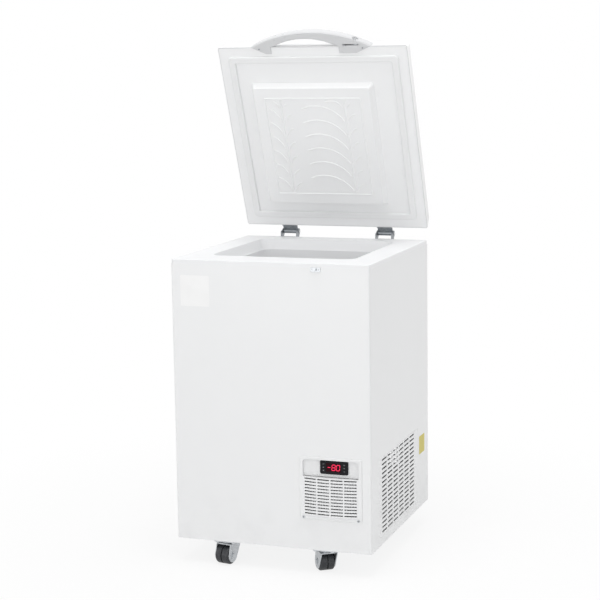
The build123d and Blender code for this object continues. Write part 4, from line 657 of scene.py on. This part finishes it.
def head_faces(node, outward):
    """Middle and radius of the end face of each separate screw of a node."""
    solid = bmesh.new()
    solid.from_mesh(NODES[node].data)
    solid.transform(NODES[node].matrix_world)
    bmesh.ops.remove_doubles(solid, verts=solid.verts, dist=WELD_DISTANCE)
    faces = []
    for part in separate_parts(solid):
        reach = max(vertex.co.dot(outward) for vertex in part)
        ring = [vertex.co for vertex in part if vertex.co.dot(outward) > reach - FACE_DEPTH]
        middle = sum(ring, Vector()) / len(ring)
        faces.append((middle, max((place - middle).length for place in ring)))
    solid.free()
    return faces


def cross_outline(arm, bar):
    """Points of a cross with four equal arms."""
    points = [(arm, -bar), (arm, bar), (bar, bar)]
    for quarter_turn in range(3):
        points += [(-y, x) for x, y in points[-3:]]
    return points


def draw_recess_shades(shape, node, outward):
    """A dark cross of painted shade on the head of each screw of a node, standing in for the shade in
    its recess.
    """
    across = RIGHT if outward.y < 0 else -RIGHT
    upright = outward.cross(across)
    for middle, head_radius in head_faces(node, outward):
        outline = cross_outline(head_radius * RECESS_ARM, head_radius * RECESS_BAR)
        plate(shape, middle, across, upright, outline, RECESS_SHADE_FILM)


for screws, (outward, body) in SCREW_FACES.items():
    recess_shade_name = screws + "_recess"
    recess_shade_mesh = mesh_of(recess_shade_name, draw_recess_shades, screws, outward)
    piece(recess_shade_name, recess_shade_mesh, "recess_shadow", body)

# Two soft lips along the lid gasket
LIP_RADIUS = 0.0011
LIP_INSETS = (0.0045, 0.0145)
LIP_CORNER = 0.010
LIP_CORNER_STEPS = 6
LIP_SIDES = 8


def bead(shape, centre, right, up, outline, radius, sides):
    """A round bead along a closed outline that lies in the plane of right and up."""
    outward = right.cross(up)
    rings = []
    for place, (x, y) in enumerate(outline):
        before_x, before_y = outline[place - 1]
        after_x, after_y = outline[(place + 1) % len(outline)]
        along = (right * (after_x - before_x) + up * (after_y - before_y)).normalized()
        side = along.cross(outward)
        middle = centre + right * x + up * y
        ring = []
        for step in range(sides):
            angle = 2 * math.pi * step / sides
            spoke = side * math.cos(angle) + outward * math.sin(angle)
            ring.append(shape.verts.new(middle + spoke * radius))
        rings.append(ring)
    for place, ring in enumerate(rings):
        following = rings[(place + 1) % len(rings)]
        for step in range(sides):
            after = (step + 1) % sides
            shape.faces.new((ring[step], following[step], following[after], ring[after]))


# The gasket leans with the lid: its own depth and thickness from the size of its upright box
gasket_low, gasket_high, gasket_middle = span("lid_gasket")
box_size = gasket_high - gasket_low
lean = lid_sine**2 - lid_cosine**2
gasket_width = box_size.x
gasket_depth = (box_size.z * lid_sine - box_size.y * lid_cosine) / lean
gasket_thickness = (box_size.y * lid_sine - box_size.z * lid_cosine) / lean
gasket_face = gasket_middle + LID_UNDER * gasket_thickness / 2


def draw_lips(shape):
    """Both lips, each a closed bead on the gasket's face."""
    for inset in LIP_INSETS:
        width = gasket_width - 2 * inset
        depth = gasket_depth - 2 * inset
        outline = rounded_outline(width, depth, LIP_CORNER, LIP_CORNER_STEPS)
        bead(shape, gasket_face, RIGHT, -LID_BACK, outline, LIP_RADIUS, LIP_SIDES)


piece("gasket_lips", mesh_of("gasket_lips", draw_lips), "gasket_vinyl", "lid")

# Camera, fitted to the photograph's view
CAMERA_AZIMUTH = math.radians(19.635)
CAMERA_PITCH = math.radians(8.769)
CAMERA_ROLL = math.radians(-0.845)
CAMERA_DISTANCE = 4.4763
CAMERA_SIDE = -0.0131
CAMERA_HEIGHT = 1.3763
CAMERA_LENS = 98.29
SENSOR_WIDTH = 36
away = Vector((math.sin(CAMERA_AZIMUTH), -math.cos(CAMERA_AZIMUTH), 0))
looking = -away * math.cos(CAMERA_PITCH) - UP * math.sin(CAMERA_PITCH)
level_right = Vector((math.cos(CAMERA_AZIMUTH), math.sin(CAMERA_AZIMUTH), 0))
level_up = level_right.cross(looking)
camera_right = level_right * math.cos(CAMERA_ROLL) + level_up * math.sin(CAMERA_ROLL)
camera_up = level_up * math.cos(CAMERA_ROLL) - level_right * math.sin(CAMERA_ROLL)
camera_data = bpy.data.cameras.new("camera")
camera_data.lens = CAMERA_LENS
camera_data.sensor_width = SENSOR_WIDTH
camera = bpy.data.objects.new("camera", camera_data)
turn = Matrix((camera_right, camera_up, -looking)).transposed().to_4x4()
stand = away * CAMERA_DISTANCE + Vector((CAMERA_SIDE, wrap_middle.y, CAMERA_HEIGHT))
camera.matrix_world = Matrix.Translation(stand) @ turn
bpy.context.scene.collection.objects.link(camera)
bpy.context.scene.camera = camera

# Soft lamps round the freezer: place and size in metres, power in watts
LAMPS = {
    "key_lamp": ((-2.6, -3.4, 3.4), 2.6, 12),
    "low_lamp": ((-0.9, -4.4, 0.7), 2.2, 36),
    "fill_lamp": ((3.6, -2.2, 2.0), 2.4, 18),
    "top_lamp": ((0.2, -0.7, 3.9), 2.0, 54),
    "back_lamp": ((1.8, 3.4, 2.4), 2.2, 26),
}
AIM = Vector((0, 0, 0.65))
for lamp_name, (lamp_place, lamp_size, lamp_power) in LAMPS.items():
    lamp_data = bpy.data.lights.new(lamp_name, "AREA")
    lamp_data.size = lamp_size
    lamp_data.energy = lamp_power
    lamp = bpy.data.objects.new(lamp_name, lamp_data)
    lamp.location = lamp_place
    lamp.rotation_euler = (AIM - Vector(lamp_place)).to_track_quat("-Z", "Y").to_euler()
    bpy.context.scene.collection.objects.link(lamp)

# Surroundings: plain white to the eye, softer as a light
SURROUND_LIGHT = 0.62
world = bpy.data.worlds.new("studio")
world.use_nodes = True
bpy.context.scene.world = world
surround = Shader(world.node_tree)
surround_strength = SURROUND_LIGHT + surround.in_view() * (1 - SURROUND_LIGHT)
surround.set(
    surround.tree.nodes["Background"],
    {"Color": PURE_WHITE, "Strength": surround_strength},
)

# Floor: pale, with a glow that keeps the freezer's shadow and turns full white with distance
FLOOR_REACH = 14
FLOOR_GLOW = 0.84
FADE_START = 0.45
FADE_END = 1.5
FLOOR_CORNERS = ((-1, -1), (1, -1), (1, 1), (-1, 1))


def draw_floor(shape):
    shape.faces.new([shape.verts.new((x * FLOOR_REACH, y * FLOOR_REACH, 0)) for x, y in FLOOR_CORNERS])


floor_finish = Finish("floor", Roughness=0.9, Specular_IOR_Level=0.1)
speckle = floor_finish.noise(scale=40, detail=3)
floor_finish.wear(Base_Color=floor_finish.mix(speckle, FLOOR_WHITE, shade(FLOOR_WHITE, 0.985)))
glow = floor_finish.node("ShaderNodeEmission", inputs={"Color": PURE_WHITE, "Strength": 1.0})
distance = floor_finish.node(
    "ShaderNodeVectorMath",
    {"operation": "LENGTH"},
    {0: floor_finish.place},
    "Value",
)
glow_share = FLOOR_GLOW + distance.band(FADE_START, FADE_END) * (1 - FLOOR_GLOW)
plain_floor = Value(floor_finish, floor_finish.surface.outputs[0])
mix_inputs = {0: floor_finish.in_view() * glow_share, 1: plain_floor, 2: glow}
floor_mix = floor_finish.node("ShaderNodeMixShader", inputs=mix_inputs)
floor_finish.set(floor_finish.tree.nodes["Material Output"], {"Surface": floor_mix})
floor_mesh = mesh_of("floor", draw_floor)
floor_mesh.materials.append(floor_finish.material)
floor = bpy.data.objects.new("floor", floor_mesh)
bpy.context.scene.collection.objects.link(floor)

bpy.context.scene.view_settings.view_transform = "Standard"
